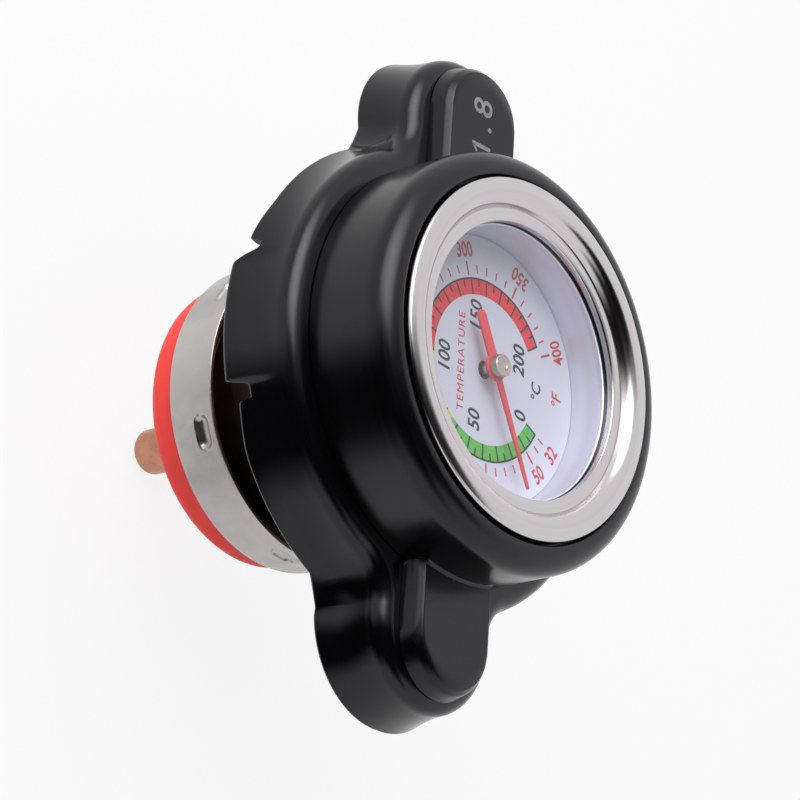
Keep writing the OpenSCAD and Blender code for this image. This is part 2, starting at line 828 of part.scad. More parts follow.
module vacuum_spring() {
    color("#9ea2a6")
        helix_spring("vacuum_spring", vacuum_spring_r, vacuum_wire_r, eyelet_top_z + vacuum_wire_r + stop_gap,
                     clip_z - vacuum_wire_r - stop_gap, vacuum_turns);
}

module vacuum_clip() {
    color("#b9bcc0")
        ring(vacuum_stem_r + run_fit, vacuum_stem_r + clip_w, clip_z, clip_z + clip_t);
}

cap_shell();
gauge_housing();
gauge_case();
bezel();
lens();
lens_gasket();
dial_plate();
pointer();
pointer_hub();
spindle();
spindle_bush();
bimetal_coil();
coil_anchor();
probe_tube();
stem_bush();
stem_o_ring();
stem_nut();
nut_washer();
diaphragm();
upper_gasket();
spring_holder();
pressure_spring();
valve_cup();
lower_seal();
seal_retainer();
vacuum_disc();
vacuum_seal();
vacuum_spring();
vacuum_clip();
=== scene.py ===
import math
from types import SimpleNamespace

import bmesh
import bpy
from mathutils import Matrix, Vector


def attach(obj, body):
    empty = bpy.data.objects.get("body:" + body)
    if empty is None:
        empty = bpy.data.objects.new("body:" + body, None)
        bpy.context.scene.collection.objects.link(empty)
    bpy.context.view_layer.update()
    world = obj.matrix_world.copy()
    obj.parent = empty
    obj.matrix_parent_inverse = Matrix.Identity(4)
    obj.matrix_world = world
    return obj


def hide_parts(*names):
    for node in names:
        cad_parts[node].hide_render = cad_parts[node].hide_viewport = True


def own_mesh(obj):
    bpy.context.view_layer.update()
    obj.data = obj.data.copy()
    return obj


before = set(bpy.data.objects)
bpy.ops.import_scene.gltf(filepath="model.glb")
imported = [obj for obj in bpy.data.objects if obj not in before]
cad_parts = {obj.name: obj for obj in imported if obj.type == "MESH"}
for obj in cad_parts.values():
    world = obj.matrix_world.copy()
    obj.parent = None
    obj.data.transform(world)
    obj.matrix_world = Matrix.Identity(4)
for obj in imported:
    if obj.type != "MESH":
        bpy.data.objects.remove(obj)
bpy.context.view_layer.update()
scene = bpy.context.scene
scene.view_settings.view_transform = "Standard"
mm = 0.001  # lengths below are millimetres until a mesh is made
print("frame loaded:", len(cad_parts), "nodes")


# small sums

def mix(a, b, share):
    return a + (b - a) * share


def smooth(value, low, high):
    share = min(max((value - low) / (high - low), 0.0), 1.0)
    return share * share * (3.0 - 2.0 * share)


def softMax(a, b, width):
    share = min(max(0.5 + 0.5 * (a - b) / width, 0.0), 1.0)
    return mix(b, a, share) + width * share * (1.0 - share)


def heading(deg):
    return math.cos(math.radians(deg)), math.sin(math.radians(deg))


def polar(radius, a, z):
    return radius * math.cos(a), radius * math.sin(a), z


def arc(centreR, centreZ, radius, startDeg, endDeg, steps):
    turns = [heading(mix(startDeg, endDeg, k / steps)) for k in range(steps + 1)]
    return [(centreR + radius * c, centreZ + radius * s) for c, s in turns]


def softened(corners, steps=4, most=0.42, hold=0.12):
    # closed section from corners (r, z, rounding), each rounded off and held by a point on both flats
    outline = []
    for k, (r, z, rounding) in enumerate(corners):
        if rounding <= 0:
            outline.append((r, z))
            continue
        here = Vector((r, z))
        back = Vector(corners[k - 1][:2]) - here
        ahead = Vector(corners[(k + 1) % len(corners)][:2]) - here
        u = back.normalized()
        w = ahead.normalized()
        half = u.angle(w) / 2
        reach = min(rounding / math.tan(half), most * back.length, most * ahead.length)
        radius = reach * math.tan(half)
        centre = here + (u + w).normalized() * (radius / math.sin(half))
        first = here + u * reach - centre
        turn = math.pi - 2 * half
        if u.x * w.y - u.y * w.x > 0:
            turn = -turn
        outline.append(tuple(here + u * (reach * (1 + hold))))
        for i in range(steps + 1):
            a = turn * i / steps
            c, s = math.cos(a), math.sin(a)
            outline.append((centre.x + first.x * c - first.y * s, centre.y + first.x * s + first.y * c))
        outline.append(tuple(here + w * (reach * (1 + hold))))
    return outline


# meshes

def meshFrom(shape, name, sharpDeg=34):
    bmesh.ops.recalc_face_normals(shape, faces=shape.faces)
    for face in shape.faces:
        face.smooth = True
    mesh = bpy.data.meshes.new(name)
    shape.to_mesh(mesh)
    shape.free()
    mesh.set_sharp_from_angle(angle=math.radians(sharpDeg))
    return mesh


def ringMesh(name, rings):
    # closed skin over rings of equal count, the last joined to the first; a ring of one point is a pole
    shape = bmesh.new()
    made = [[shape.verts.new(Vector(p) * mm) for p in ring] for ring in rings]
    for k, ring in enumerate(made):
        after = made[(k + 1) % len(made)]
        count = max(len(ring), len(after))
        if count == 1:
            continue
        for i in range(count):
            j = (i + 1) % count
            corners = [ring[i % len(ring)], ring[j % len(ring)]]
            corners += [after[j % len(after)], after[i % len(after)]]
            shape.faces.new(list(dict.fromkeys(corners)))
    return meshFrom(shape, name)


def rowMesh(name, rows):
    return ringMesh(name, [[row[k] for row in rows] for k in range(len(rows[0]))])


def lathe(name, outline, sides):
    turns = [math.tau * i / sides for i in range(sides)]
    rings = []
    for r, z in outline:
        onAxis = r < 1e-6
        rings.append([(0, 0, z)] if onAxis else [polar(r, a, z) for a in turns])
    return ringMesh(name, rings)


def joinRings(shape, rings):
    for ring, after in zip(rings, rings[1:]):
        for i in range(len(ring)):
            j = (i + 1) % len(ring)
            shape.faces.new((ring[i], ring[j], after[j], after[i]))


def plateMesh(name, outline, bottom, top, edge):
    # flat plate from a plan outline, with a small chamfer round both faces
    count = len(outline)
    inner = []
    for k in range(count):
        along = Vector(outline[(k + 1) % count]) - Vector(outline[k - 1])
        side = Vector((-along.y, along.x)).normalized()
        inner.append(Vector(outline[k]) + side * edge)
    shape = bmesh.new()
    rings = []
    for plan, z in ((inner, bottom), (outline, bottom + edge), (outline, top - edge), (inner, top)):
        rings.append([shape.verts.new(Vector((p[0], p[1], z)) * mm) for p in plan])
    joinRings(shape, rings)
    shape.faces.new(rings[0])
    shape.faces.new(rings[-1])
    return meshFrom(shape, name)


def joined(name, parts):
    # one mesh from several, each with the matrix that puts it in place
    shape = bmesh.new()
    for part, place in parts:
        part.transform(place)
        shape.from_mesh(part)
        bpy.data.meshes.remove(part)
    return meshFrom(shape, name)


def addPiece(name, mesh, body, slotName, material, *nodes):
    piece = bpy.data.objects.new(name, mesh)
    scene.collection.objects.link(piece)
    mesh.materials.clear()
    mesh.materials.append(material)
    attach(piece, body)
    if nodes:
        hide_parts(*nodes)
    return piece


def turnedPiece(look, section, steps=4, sides=144):
    # the section gives each corner's radius, height and rounding by their names in the piece's settings
    sizes = {"axis": 0, "sharp": 0, **look}
    corners = [[sizes[word] for word in corner.split()] for corner in section.split(", ")]
    mesh = lathe(look["name"], softened(corners, steps), sides)
    material = finish[look["finish"]]
    addPiece(look["name"], mesh, look.get("body", "cap"), look["slot"], material, look["node"])


ringSection = "inner bottom edge, outer bottom edge, outer top edge, inner top edge"


# node trees

def addNode(tree, kind, inputs=None, **settings):
    node = tree.nodes.new(kind)
    for key, value in settings.items():
        setattr(node, key, value)
    for key, value in (inputs or {}).items():
        if isinstance(value, bpy.types.NodeSocket):
            tree.links.new(value, node.inputs[key])
        else:
            node.inputs[key].default_value = value
    return node


def calc(tree, operation, a, b=0.0):
    return addNode(tree, "ShaderNodeMath", {0: a, 1: b}, operation=operation).outputs[0]


def times(tree, a, b):
    return calc(tree, "MULTIPLY", a, b)


def humped(tree, share):
    # nothing at 0 and 1, most in the middle
    return times(tree, share, calc(tree, "SUBTRACT", 1.0, share))


def startTree(name, inputs):
    tree = bpy.data.node_groups.new(name, "GeometryNodeTree")
    for kind, labels in inputs.items():
        for label in labels:
            tree.interface.new_socket(label, in_out="INPUT", socket_type="NodeSocket" + kind)
    tree.interface.new_socket("Geometry", in_out="OUTPUT", socket_type="NodeSocketGeometry")
    return tree, tree.nodes.new("NodeGroupInput").outputs


def endTree(tree, geometry, material):
    real = addNode(tree, "GeometryNodeRealizeInstances", {"Geometry": geometry})
    coated = addNode(tree, "GeometryNodeSetMaterial", {"Geometry": real.outputs[0], "Material": material})
    addNode(tree, "NodeGroupOutput", {0: coated.outputs[0]})


def plainMesh(holder):
    # what the object shows, as a mesh of its own; the object goes
    graph = bpy.context.evaluated_depsgraph_get()
    mesh = bpy.data.meshes.new_from_object(holder.evaluated_get(graph), depsgraph=graph)
    holder.modifiers.clear()
    bpy.data.objects.remove(holder)
    return mesh


def growMesh(tree, settings):
    holder = bpy.data.objects.new("holder", bpy.data.meshes.new("holder"))
    scene.collection.objects.link(holder)
    modifier = holder.modifiers.new("grow", "NODES")
    modifier.node_group = tree
    for item in tree.interface.items_tree:
        if item.in_out == "INPUT":
            modifier[item.identifier] = settings[item.name]
    return plainMesh(holder)


def polarPlace(tree, radius, angle, height):
    return addNode(tree, "ShaderNodeCombineXYZ", {
        "X": times(tree, radius, calc(tree, "COSINE", angle)),
        "Y": times(tree, radius, calc(tree, "SINE", angle)), "Z": height}).outputs[0]


def wireTree():
    # round wire on a helix with a stretch of flat coil at both ends
    tree, given = startTree("woundWire", {
        "Float": ("Turns", "Flat Turns", "Radius", "Wire Radius", "Bottom", "Top"),
        "Int": ("Rings", "Sides"), "Material": ("Material",)})
    line = addNode(tree, "GeometryNodeCurvePrimitiveLine").outputs[0]
    rings = addNode(tree, "GeometryNodeResampleCurve", {"Curve": line, "Count": given["Rings"]}).outputs[0]
    share = addNode(tree, "GeometryNodeSplineParameter").outputs["Factor"]
    angle = times(tree, times(tree, share, given["Turns"]), math.tau)
    flat = calc(tree, "DIVIDE", given["Flat Turns"], given["Turns"])
    height = addNode(tree, "ShaderNodeMapRange", {
        "Value": share, "From Min": flat, "From Max": calc(tree, "SUBTRACT", 1.0, flat),
        "To Min": given["Bottom"], "To Max": given["Top"]}).outputs[0]
    path = addNode(tree, "GeometryNodeSetPosition", {
        "Geometry": rings, "Position": polarPlace(tree, given["Radius"], angle, height)})
    ring = addNode(tree, "GeometryNodeCurvePrimitiveCircle", {
        "Resolution": given["Sides"], "Radius": given["Wire Radius"]})
    tube = addNode(tree, "GeometryNodeCurveToMesh", {
        "Curve": path.outputs[0], "Profile Curve": ring.outputs[0], "Fill Caps": True})
    endTree(tree, tube.outputs[0], given["Material"])
    return tree


def tickTree():
    # bars on a ring at equal angles; every nth can be left out
    tree, given = startTree("scaleTicks", {
        "Int": ("Count", "Leave Out"), "Material": ("Material",),
        "Float": ("First Angle", "Step Angle", "Inner", "Outer", "Width", "Base", "Height")})
    points = addNode(tree, "GeometryNodePoints", {"Count": given["Count"]}).outputs[0]
    index = addNode(tree, "GeometryNodeInputIndex").outputs[0]
    angle = calc(tree, "ADD", given["First Angle"], times(tree, given["Step Angle"], index))
    middle = times(tree, calc(tree, "ADD", given["Inner"], given["Outer"]), 0.5)
    height = calc(tree, "ADD", given["Base"], times(tree, given["Height"], 0.5))
    spread = addNode(tree, "GeometryNodeSetPosition", {
        "Geometry": points, "Position": polarPlace(tree, middle, angle, height)}).outputs[0]
    asked = calc(tree, "GREATER_THAN", given["Leave Out"], 0.5)
    within = calc(tree, "MODULO", index, calc(tree, "MAXIMUM", given["Leave Out"], 1.0))
    left = times(tree, asked, calc(tree, "LESS_THAN", within, 0.5))
    kept = addNode(tree, "GeometryNodeDeleteGeometry", {"Geometry": spread, "Selection": left}).outputs[0]
    place = addNode(tree, "GeometryNodeInputPosition").outputs[0]
    here = addNode(tree, "ShaderNodeSeparateXYZ", {0: place}).outputs
    facing = addNode(tree, "ShaderNodeCombineXYZ", {"Z": calc(tree, "ARCTAN2", here["Y"], here["X"])})
    turned = addNode(tree, "FunctionNodeEulerToRotation", {0: facing.outputs[0]}).outputs[0]
    length = calc(tree, "SUBTRACT", given["Outer"], given["Inner"])
    size = addNode(tree, "ShaderNodeCombineXYZ", {"X": length, "Y": given["Width"], "Z": given["Height"]})
    bar = addNode(tree, "GeometryNodeMeshCube", {"Size": size.outputs[0]}).outputs[0]
    bars = addNode(tree, "GeometryNodeInstanceOnPoints", {
        "Points": kept, "Instance": bar, "Rotation": turned})
    endTree(tree, bars.outputs[0], given["Material"])
    return tree


# finishes

def startFinish(name, colour, metal=0.0, rough=0.5, specular=0.5):
    material = bpy.data.materials.new(name)
    material.use_nodes = True
    tree = material.node_tree
    shader = tree.nodes["Principled BSDF"]
    shader.inputs["Base Color"].default_value = (*colour, 1)
    shader.inputs["Metallic"].default_value = metal
    shader.inputs["Roughness"].default_value = rough
    shader.inputs["Specular IOR Level"].default_value = specular
    return material, tree, shader


def objectPlace(tree, stretch=(1, 1, 1)):
    place = addNode(tree, "ShaderNodeTexCoord").outputs["Object"]
    return addNode(tree, "ShaderNodeMapping", {"Vector": place, "Scale": stretch}).outputs[0]


def turnedPlace(tree):
    # radius and height only, so a pattern on it runs round the axis like tool marks
    place = addNode(tree, "ShaderNodeTexCoord").outputs["Object"]
    parts = addNode(tree, "ShaderNodeSeparateXYZ", {0: place}).outputs
    squares = [times(tree, parts[k], parts[k]) for k in ("X", "Y")]
    radius = calc(tree, "SQRT", calc(tree, "ADD", *squares))
    return addNode(tree, "ShaderNodeCombineXYZ", {"X": radius, "Z": parts["Z"]}).outputs[0]


def noise(tree, place, scale, detail=3.0, rough=0.55):
    return addNode(tree, "ShaderNodeTexNoise", {
        "Vector": place, "Scale": scale, "Detail": detail, "Roughness": rough}).outputs["Fac"]


def ranged(tree, value, low, high, start=0.3, end=0.7):
    return addNode(tree, "ShaderNodeMapRange", {
        "Value": value, "From Min": start, "From Max": end, "To Min": low, "To Max": high}).outputs[0]


def blended(tree, share, first, second):
    node = addNode(tree, "ShaderNodeMix", {0: share}, data_type="RGBA")
    for key, colour in ((6, first), (7, second)):
        if isinstance(colour, bpy.types.NodeSocket):
            tree.links.new(colour, node.inputs[key])
        else:
            node.inputs[key].default_value = (*colour, 1)
    return node.outputs[2]


def patchy(tree, place, colour, tone, scale):
    # the base colour drifts a little up and down
    share = ranged(tree, noise(tree, place, scale), 0.0, 1.0)
    pale, deep = (tuple(min(c * gain, 1.0) for c in colour) for gain in (1 + tone, 1 - tone))
    return blended(tree, share, deep, pale)


def dusted(tree, place, colour, dustColour, scale, size, share):
    # single specks of dust in some of the cells
    cells = addNode(tree, "ShaderNodeTexVoronoi", {"Vector": place, "Scale": scale}).outputs
    draw = addNode(tree, "ShaderNodeSeparateColor", {0: cells["Color"]}).outputs[0]
    chosen = calc(tree, "GREATER_THAN", draw, 1.0 - share)
    near = calc(tree, "LESS_THAN", cells["Distance"], size)
    return blended(tree, times(tree, chosen, near), colour, dustColour)


def worked(look):
    # drifting or stained colour, uneven gloss and a fine grain, over the piece or round its axis
    colour = look["colour"]
    material, tree, shader = startFinish(
        look["name"], colour, look.get("metal", 0.0), look["rough"], look.get("specular", 0.5))
    sockets = shader.inputs
    if "stain" in look:
        field = noise(tree, objectPlace(tree, look["stainStretch"]), *look["stainField"])
        tone = blended(tree, ranged(tree, field, *look["stainSpread"]), colour, look["stain"])
    else:
        over = turnedPlace(tree) if look.get("toneRound") else objectPlace(tree)
        tone = patchy(tree, over, colour, *look["tone"])
    if "dust" in look:
        tone = dusted(tree, objectPlace(tree), tone, *look["dust"])
    tree.links.new(tone, sockets["Base Color"])
    low, high, scale = look["gloss"]
    over = turnedPlace(tree) if look.get("marksRound") else objectPlace(tree)
    tree.links.new(ranged(tree, noise(tree, over, scale), low, high), sockets["Roughness"])
    if "grain" in look:
        scale, strength, depth = look["grain"]
        if "grainStretch" in look:
            over = objectPlace(tree, look["grainStretch"])
        bump = addNode(tree, "ShaderNodeBump", {
            "Height": noise(tree, over, scale, detail=2.0), "Strength": strength, "Distance": depth * mm})
        tree.links.new(bump.outputs[0], sockets["Normal"])
    for socket, value in look.get("more", {}).items():
        sockets[socket].default_value = value
    return material


def clearGlass():
    # light falls straight through to the dial; what is looked at shows gloss and a slight shift
    look = {
        "colour": (0.97, 0.98, 1.0), "shade": (0.96, 0.97, 0.98), "index": 1.35,
        "hazeField": (90, 4.0), "hazeSpread": (0.0, 0.02, 0.5, 0.85)}  # faint finger haze
    material, tree, shader = startFinish("clearGlass", look["colour"], 0.0, 0.0)
    shader.inputs["Transmission Weight"].default_value = 1.0
    shader.inputs["IOR"].default_value = look["index"]
    haze = ranged(tree, noise(tree, objectPlace(tree), *look["hazeField"]), *look["hazeSpread"])
    tree.links.new(haze, shader.inputs["Roughness"])
    path = addNode(tree, "ShaderNodeLightPath").outputs
    lit = calc(tree, "MAXIMUM", path["Is Shadow Ray"], path["Is Diffuse Ray"])
    clear = addNode(tree, "ShaderNodeBsdfTransparent", {"Color": (*look["shade"], 1)})
    both = addNode(tree, "ShaderNodeMixShader", {0: lit, 1: shader.outputs[0], 2: clear.outputs[0]})
    tree.links.new(both.outputs[0], tree.nodes["Material Output"].inputs["Surface"])
    return material


# tone is (amount, scale), gloss (smoothest, roughest, scale), grain (scale, strength, depth in mm),
# dust (colour, scale, size, share), and more holds other sockets of the shader
blackLook = {
    "colour": (0.0016, 0.0016, 0.0022), "more": {"Specular Tint": (0.95, 0.93, 1.0, 1)},
}
dustGrey = (0.05, 0.05, 0.05)
metalLook = {"metal": 1.0, "toneRound": True, "marksRound": True}
# screen print is never quite even
printLook = {"rough": 0.5, "specular": 0.3, "tone": (0.12, 1600), "gloss": (0.42, 0.6, 1500)}
rubberLook = {
    "rough": 0.7, "specular": 0.3, "tone": (0.2, 300), "gloss": (0.6, 0.8, 900),
    "grain": (3000, 0.2, 0.015),
}
finishLook = {
    "shell": {
        **blackLook, "name": "glossBlackPaint", "rough": 0.24, "specular": 0.4, "tone": (0.3, 120),
        "dust": (dustGrey, 520, 0.05, 0.06), "gloss": (0.15, 0.23, 300),
        "grain": (1100, 0.12, 0.01)},  # the paint's slight orange peel
    "housing": {
        **blackLook, "name": "satinBlackAnodised", "rough": 0.38, "specular": 0.38, "tone": (0.25, 160),
        "dust": (dustGrey, 480, 0.05, 0.07), "gloss": (0.2, 0.28, 2500), "grain": (5200, 0.1, 0.006),
        "marksRound": True},
    "bezel": {
        **metalLook, "name": "polishedSteel", "colour": (0.58, 0.545, 0.56), "rough": 0.12,
        "tone": (0.05, 1500), "gloss": (0.13, 0.22, 2600), "grain": (4000, 0.06, 0.006)},
    "cup": {
        "name": "drawnSteel", "colour": (0.54, 0.515, 0.505), "metal": 1.0, "rough": 0.3,
        "stain": (0.36, 0.34, 0.335), "stainStretch": (1, 1, 0.5), "stainField": (130, 2.0, 0.5),
        "stainSpread": (0.0, 1.0, 0.3, 0.7), "gloss": (0.26, 0.4, 900), "grain": (3200, 0.1, 0.006)},
    "case": {
        **metalLook, "name": "brightAluminium", "colour": (0.74, 0.75, 0.82), "rough": 0.25,
        "tone": (0.06, 900), "gloss": (0.42, 0.56, 1800), "grain": (3000, 0.08, 0.006)},
    "dial": {
        "name": "dialEnamel", "colour": (0.66, 0.655, 0.76), "rough": 0.45, "specular": 0.3,
        "tone": (0.025, 220), "gloss": (0.4, 0.55, 700), "grain": (5000, 0.08, 0.006)},
    "black": {**printLook, "name": "inkBlack", "colour": (0.01, 0.01, 0.014)},
    "red": {**printLook, "name": "inkRed", "colour": (0.55, 0.03, 0.05)},
    "bandRed": {**printLook, "name": "inkBandRed", "colour": (0.8, 0.03, 0.045)},
    "bandYellow": {**printLook, "name": "inkBandYellow", "colour": (0.8, 0.56, 0.03)},
    "bandGreen": {**printLook, "name": "inkBandGreen", "colour": (0.1, 0.46, 0.06)},
    "grey": {**printLook, "name": "inkGrey", "colour": (0.27, 0.27, 0.28)},
    "pointer": {
        "name": "pointerRed", "colour": (0.74, 0.06, 0.075), "rough": 0.4, "specular": 0.4,
        "tone": (0.1, 900), "gloss": (0.32, 0.5, 1200), "grain": (4200, 0.1, 0.006)},
    "copper": {
        "name": "bareCopper", "colour": (0.6, 0.285, 0.185), "metal": 1.0, "rough": 0.36,
        "stain": (0.3, 0.15, 0.1), "stainStretch": (1, 1, 1), "stainField": (420, 6.0, 0.7),
        "stainSpread": (0.0, 0.75, 0.42, 0.72), "gloss": (0.3, 0.5, 650),
        "grain": (5200, 0.18, 0.008), "grainStretch": (1, 1, 0.15)},  # drawing lines along the tube
    "seal": {
        "name": "siliconeRed", "colour": (0.96, 0.055, 0.045), "rough": 0.5, "specular": 0.35,
        "tone": (0.06, 260), "gloss": (0.42, 0.6, 500), "grain": (3800, 0.12, 0.012),
        "more": {"Subsurface Weight": 0.15, "Subsurface Radius": (1.0, 0.15, 0.1),
                 "Subsurface Scale": 0.4 * mm}},
    # red silicone darkened: painted shade for the dark gap under the shell
    "gasket": {**rubberLook, "name": "shadeDarkenedGasketRed", "colour": (0.24, 0.04, 0.032)},
    "rubber": {**rubberLook, "name": "blackRubber", "colour": (0.016, 0.016, 0.017)},
}
turnedLook = {"metal": 1.0, "marksRound": True, "grain": (5200, 0.2, 0.008)}
for key, name, colour, low, high, stain in (
        ("hub", "turnedNickel", (0.46, 0.39, 0.34), 0.24, 0.38, 0.08),
        ("wire", "springWire", (0.5, 0.5, 0.5), 0.2, 0.36, 0.08),
        ("brass", "turnedBrass", (0.68, 0.5, 0.24), 0.2, 0.36, 0.08),
        ("zinc", "zincPlate", (0.6, 0.61, 0.62), 0.26, 0.42, 0.15),
        # this brass is darkened nearly to black: painted shade for the gap inside the cup and the hole
        # under the hub
        ("holder", "shadeDarkenedBrass", (0.1, 0.06, 0.042), 0.42, 0.58, 0.2)):
    finishLook[key] = {**turnedLook, "name": name, "colour": colour, "rough": low,
                       "tone": (stain, 500), "gloss": (low, high, 3000)}
finish = {key: worked(look) for key, look in finishLook.items()}
finish["glass"] = clearGlass()
print("finishes made:", len(finish))


# camera, solved from the circles of bezel, glass and dial

cameraLook = {
    "lens": 180.0, "sensor": 36.0, "nearest": 10.0, "elevation": 39.0007, "roll": -76.2200, "turn": 206.3,
    "aim": 12.5, "distance": 338.026, "right": 10.9517, "up": 3.4819,
}


def placeCamera(look):
    its = SimpleNamespace(**look)
    lift = math.radians(its.elevation)
    roll = math.radians(its.roll)
    level = Vector((1, 0, 0))
    steep = Vector((0, math.sin(lift), math.cos(lift)))
    turn = Matrix.Rotation(math.radians(its.turn), 3, "Z")
    right = turn @ (level * math.cos(roll) - steep * math.sin(roll))
    up = turn @ (level * math.sin(roll) + steep * math.cos(roll))
    back = right.cross(up)
    data = bpy.data.cameras.new("photoCamera")
    data.lens = its.lens
    data.sensor_width = its.sensor
    data.clip_start = its.nearest * mm
    camera = bpy.data.objects.new("photoCamera", data)
    scene.collection.objects.link(camera)
    spot = Vector((0, 0, its.aim)) + back * its.distance - right * its.right - up * its.up
    camera.matrix_world = Matrix.LocRotScale(spot * mm, Matrix((right, up, back)).transposed(), None)
    scene.camera = camera


placeCamera(cameraLook)
print("camera placed")


# pressed shell with two ears and two lugs

shellLook = {
    "wall": 20.6, "tipX": 22.6, "earHalf": 7.2, "hollow": 4.0, "plate": 4.0, "sheet": 1.0, "hole": 4.15,
    "shoulder": 1.5, "flare": 1.3, "earFlare": 0.8, "cornerFlare": 0.4, "bow": 2.0, "tipBow": 1.5,
    "skirtDrop": 1.5, "earDrop": 2.4, "notchDrop": 0.6, "lugDrop": 2.8, "notchEdge": 0.9, "edge": 0.28,
    "lipStart": 0.4, "lipReach": 3.9, "lipNose": 0.3, "lipSheet": 0.95, "lipCorner": 0.15, "bend": 0.42,
    "earSteps": 36, "earFade": 0.57, "cornerSteps": 70, "cornerFade": 0.64, "skewDeg": (18, 34),
    "fineDeg": (68, 79), "fineStep": 0.25, "step": 1.0, "foldEnd": 0.6, "plateShares": (0, 0.35, 0.7, 0.9),
    # the side that goes first as the cap is turned on, with the lug's sloped end and a narrow fold
    "lead": {
        "moreFlare": -0.4, "moreDrop": -0.25, "lugFull": 12.6, "lugEnd": 17.2, "notchEnd": 18.7,
        "foldDepth": 0.2, "foldHalf": 0.27, "foldEdge": 0.14, "foldTop": 1.3, "foldLow": -1.5,
        "foldStart": 0.1, "foldFade": 0.14},
    # the side that follows, with the lug's short end and a soft dent
    "trail": {
        "moreFlare": 0.12, "moreDrop": 0.55, "lugFull": 15.0, "lugEnd": 17.0, "notchEnd": 20.2,
        "foldDepth": 0.17, "foldHalf": 2.0, "foldEdge": 1.8, "foldTop": 0.3, "foldLow": -0.3,
        "foldStart": 0.1, "foldFade": 0.5},
}


def shellColumns(its):
    # quarter outline from the ear's tip to the lug: place, outward direction, shares of ear tip, ear,
    # hollow corner and skew, distance from the corner's middle and angle from the lug's middle
    far = 99.0
    cornerY = its.earHalf + its.hollow
    cornerX = math.sqrt((its.wall + its.hollow) ** 2 - cornerY ** 2)
    cornerDeg = math.degrees(math.atan2(cornerY, cornerX))
    quarter = []
    for k in range(its.earSteps + 1):
        t = k / its.earSteps
        c, s = heading(90 * t)
        quarter.append((its.tipX + its.earHalf * c, its.earHalf * s, c, s,
                        1 - t, 1 - (its.earFade * t) ** 2, 0, t ** 2, far, far))
    middleDeg = (90 + cornerDeg) / 2
    for k in range(its.cornerSteps + 1):
        t = k / its.cornerSteps
        deg = mix(90, cornerDeg, t)
        c, s = heading(deg)
        aside = math.radians(deg - middleDeg) * its.hollow
        quarter.append((cornerX - its.hollow * c, cornerY - its.hollow * s, c, s,
                        0, 1 - mix(its.cornerFade, 1, t) ** 2, 4 * t * (1 - t), 1, aside, far))
    deg = cornerDeg
    while deg < 90:
        fine = its.fineDeg[0] < deg < its.fineDeg[1]
        deg = min(deg + (its.fineStep if fine else its.step), 90)
        c, s = heading(deg)
        skew = smooth(90 - deg, *its.skewDeg)
        quarter.append((its.wall * c, its.wall * s, c, s, 0, 0, 0, skew, far, 90 - deg))
    columns = []
    for sx, sy in ((1, 1), (-1, 1), (-1, -1), (1, -1)):
        run = quarter[:-1] if sx == sy else reversed(quarter[1:])
        columns += [(x * sx, y * sy, c * sx, s * sy, *rest) for x, y, c, s, *rest in run]
    return columns


def shellSection(its, side, tip, ear, corner, skew, aside, lug):
    # offsets outward and heights: round the shoulder, down the skirt, round its edge or the lug's lip, up
    t, sh, edge, bend, r = its.sheet, its.shoulder, its.edge, its.bend, its.lipCorner
    half = its.notchEdge / 2
    inNotch = 1 - smooth(lug, side.notchEnd - half, side.notchEnd + half)
    inLug = 1 - smooth(lug, side.lugFull, side.lugEnd)
    skirt = mix(its.skirtDrop, its.earDrop, ear) + side.moreDrop * skew
    drop = mix(mix(skirt, its.notchDrop, inNotch), its.lugDrop, inLug)
    uncut = mix(skirt, its.lugDrop, inLug)
    lip = smooth(inLug, its.lipStart, 1.0)
    flare = mix(its.flare, its.earFlare, tip) + its.cornerFlare * corner + side.moreFlare * skew
    top = its.plate - sh
    low = -drop + mix(edge, bend, lip)

    def wallOut(z):
        s = (top - z) / (top + uncut)
        deep = smooth(s, side.foldStart, side.foldStart + side.foldFade) * (1 - smooth(s, its.foldEnd, 1.0))
        middle = mix(side.foldLow, side.foldTop, max(1 - s, 0.0) ** 2)
        beside = smooth(abs(aside - middle), side.foldHalf - side.foldEdge, side.foldHalf)
        return flare * s ** mix(its.bow, its.tipBow, tip) - side.foldDepth * deep * (1 - beside)

    outer = arc(-sh, top, sh, 90, 0, 8)
    outer += [(wallOut(z), z) for z in (mix(top, low, k / 30) for k in range(1, 31))]
    d = wallOut(low)
    lipTop = -drop + its.lipSheet + r
    backLow = mix(-drop + edge, lipTop, lip)
    inside = wallOut(backLow) - t
    end = d - its.lipReach
    hem = arc(d - edge, -drop + edge, edge, 0, -90, 5)
    hem += [(mix(d - edge, d - t + edge, (k + 1) / 7), -drop) for k in range(6)]
    hem += arc(d - t + edge, -drop + edge, edge, -90, -180, 4)
    curl = arc(d - bend, -drop + bend, bend, 0, -90, 5)
    for a in (math.pi * k / 5 for k in range(6)):
        curl.append((end + its.lipNose * (1 - math.sin(a)), -drop + its.lipSheet / 2 * (1 - math.cos(a))))
    curl += arc(inside - r, lipTop, r, -90, 0, 4)
    border = [(mix(h[0], c[0], lip), mix(h[1], c[1], lip)) for h, c in zip(hem, curl)]
    back = [(wallOut(z) - t, z) for z in (mix(top, backLow, k / 12) for k in range(11, 0, -1))]
    return outer + border + back + arc(-sh, top, sh - t, 0, 90, 5)


def buildShell(look):
    its = SimpleNamespace(**look)
    lead = SimpleNamespace(**its.lead)
    trail = SimpleNamespace(**its.trail)
    down = Vector((0, 0, its.sheet))
    rows = []
    for x, y, c, s, *shares in shellColumns(its):
        side = lead if x * y > 0 else trail
        section = [(x + c * d, y + s * d, z) for d, z in shellSection(its, side, *shares)]
        hole = Vector(polar(its.hole, math.atan2(y, x), its.plate))
        plate = [hole.lerp(Vector(section[0]), share) for share in its.plateShares]
        rows.append(plate + section + [p - down for p in reversed(plate)])
    mesh = rowMesh("pressedShell", rows)
    addPiece("pressedShell", mesh, "cap", "shell_black", finish["shell"], "cap_shell")


buildShell(shellLook)
print("shell built")


# gauge housing with a stepped tab over each ear

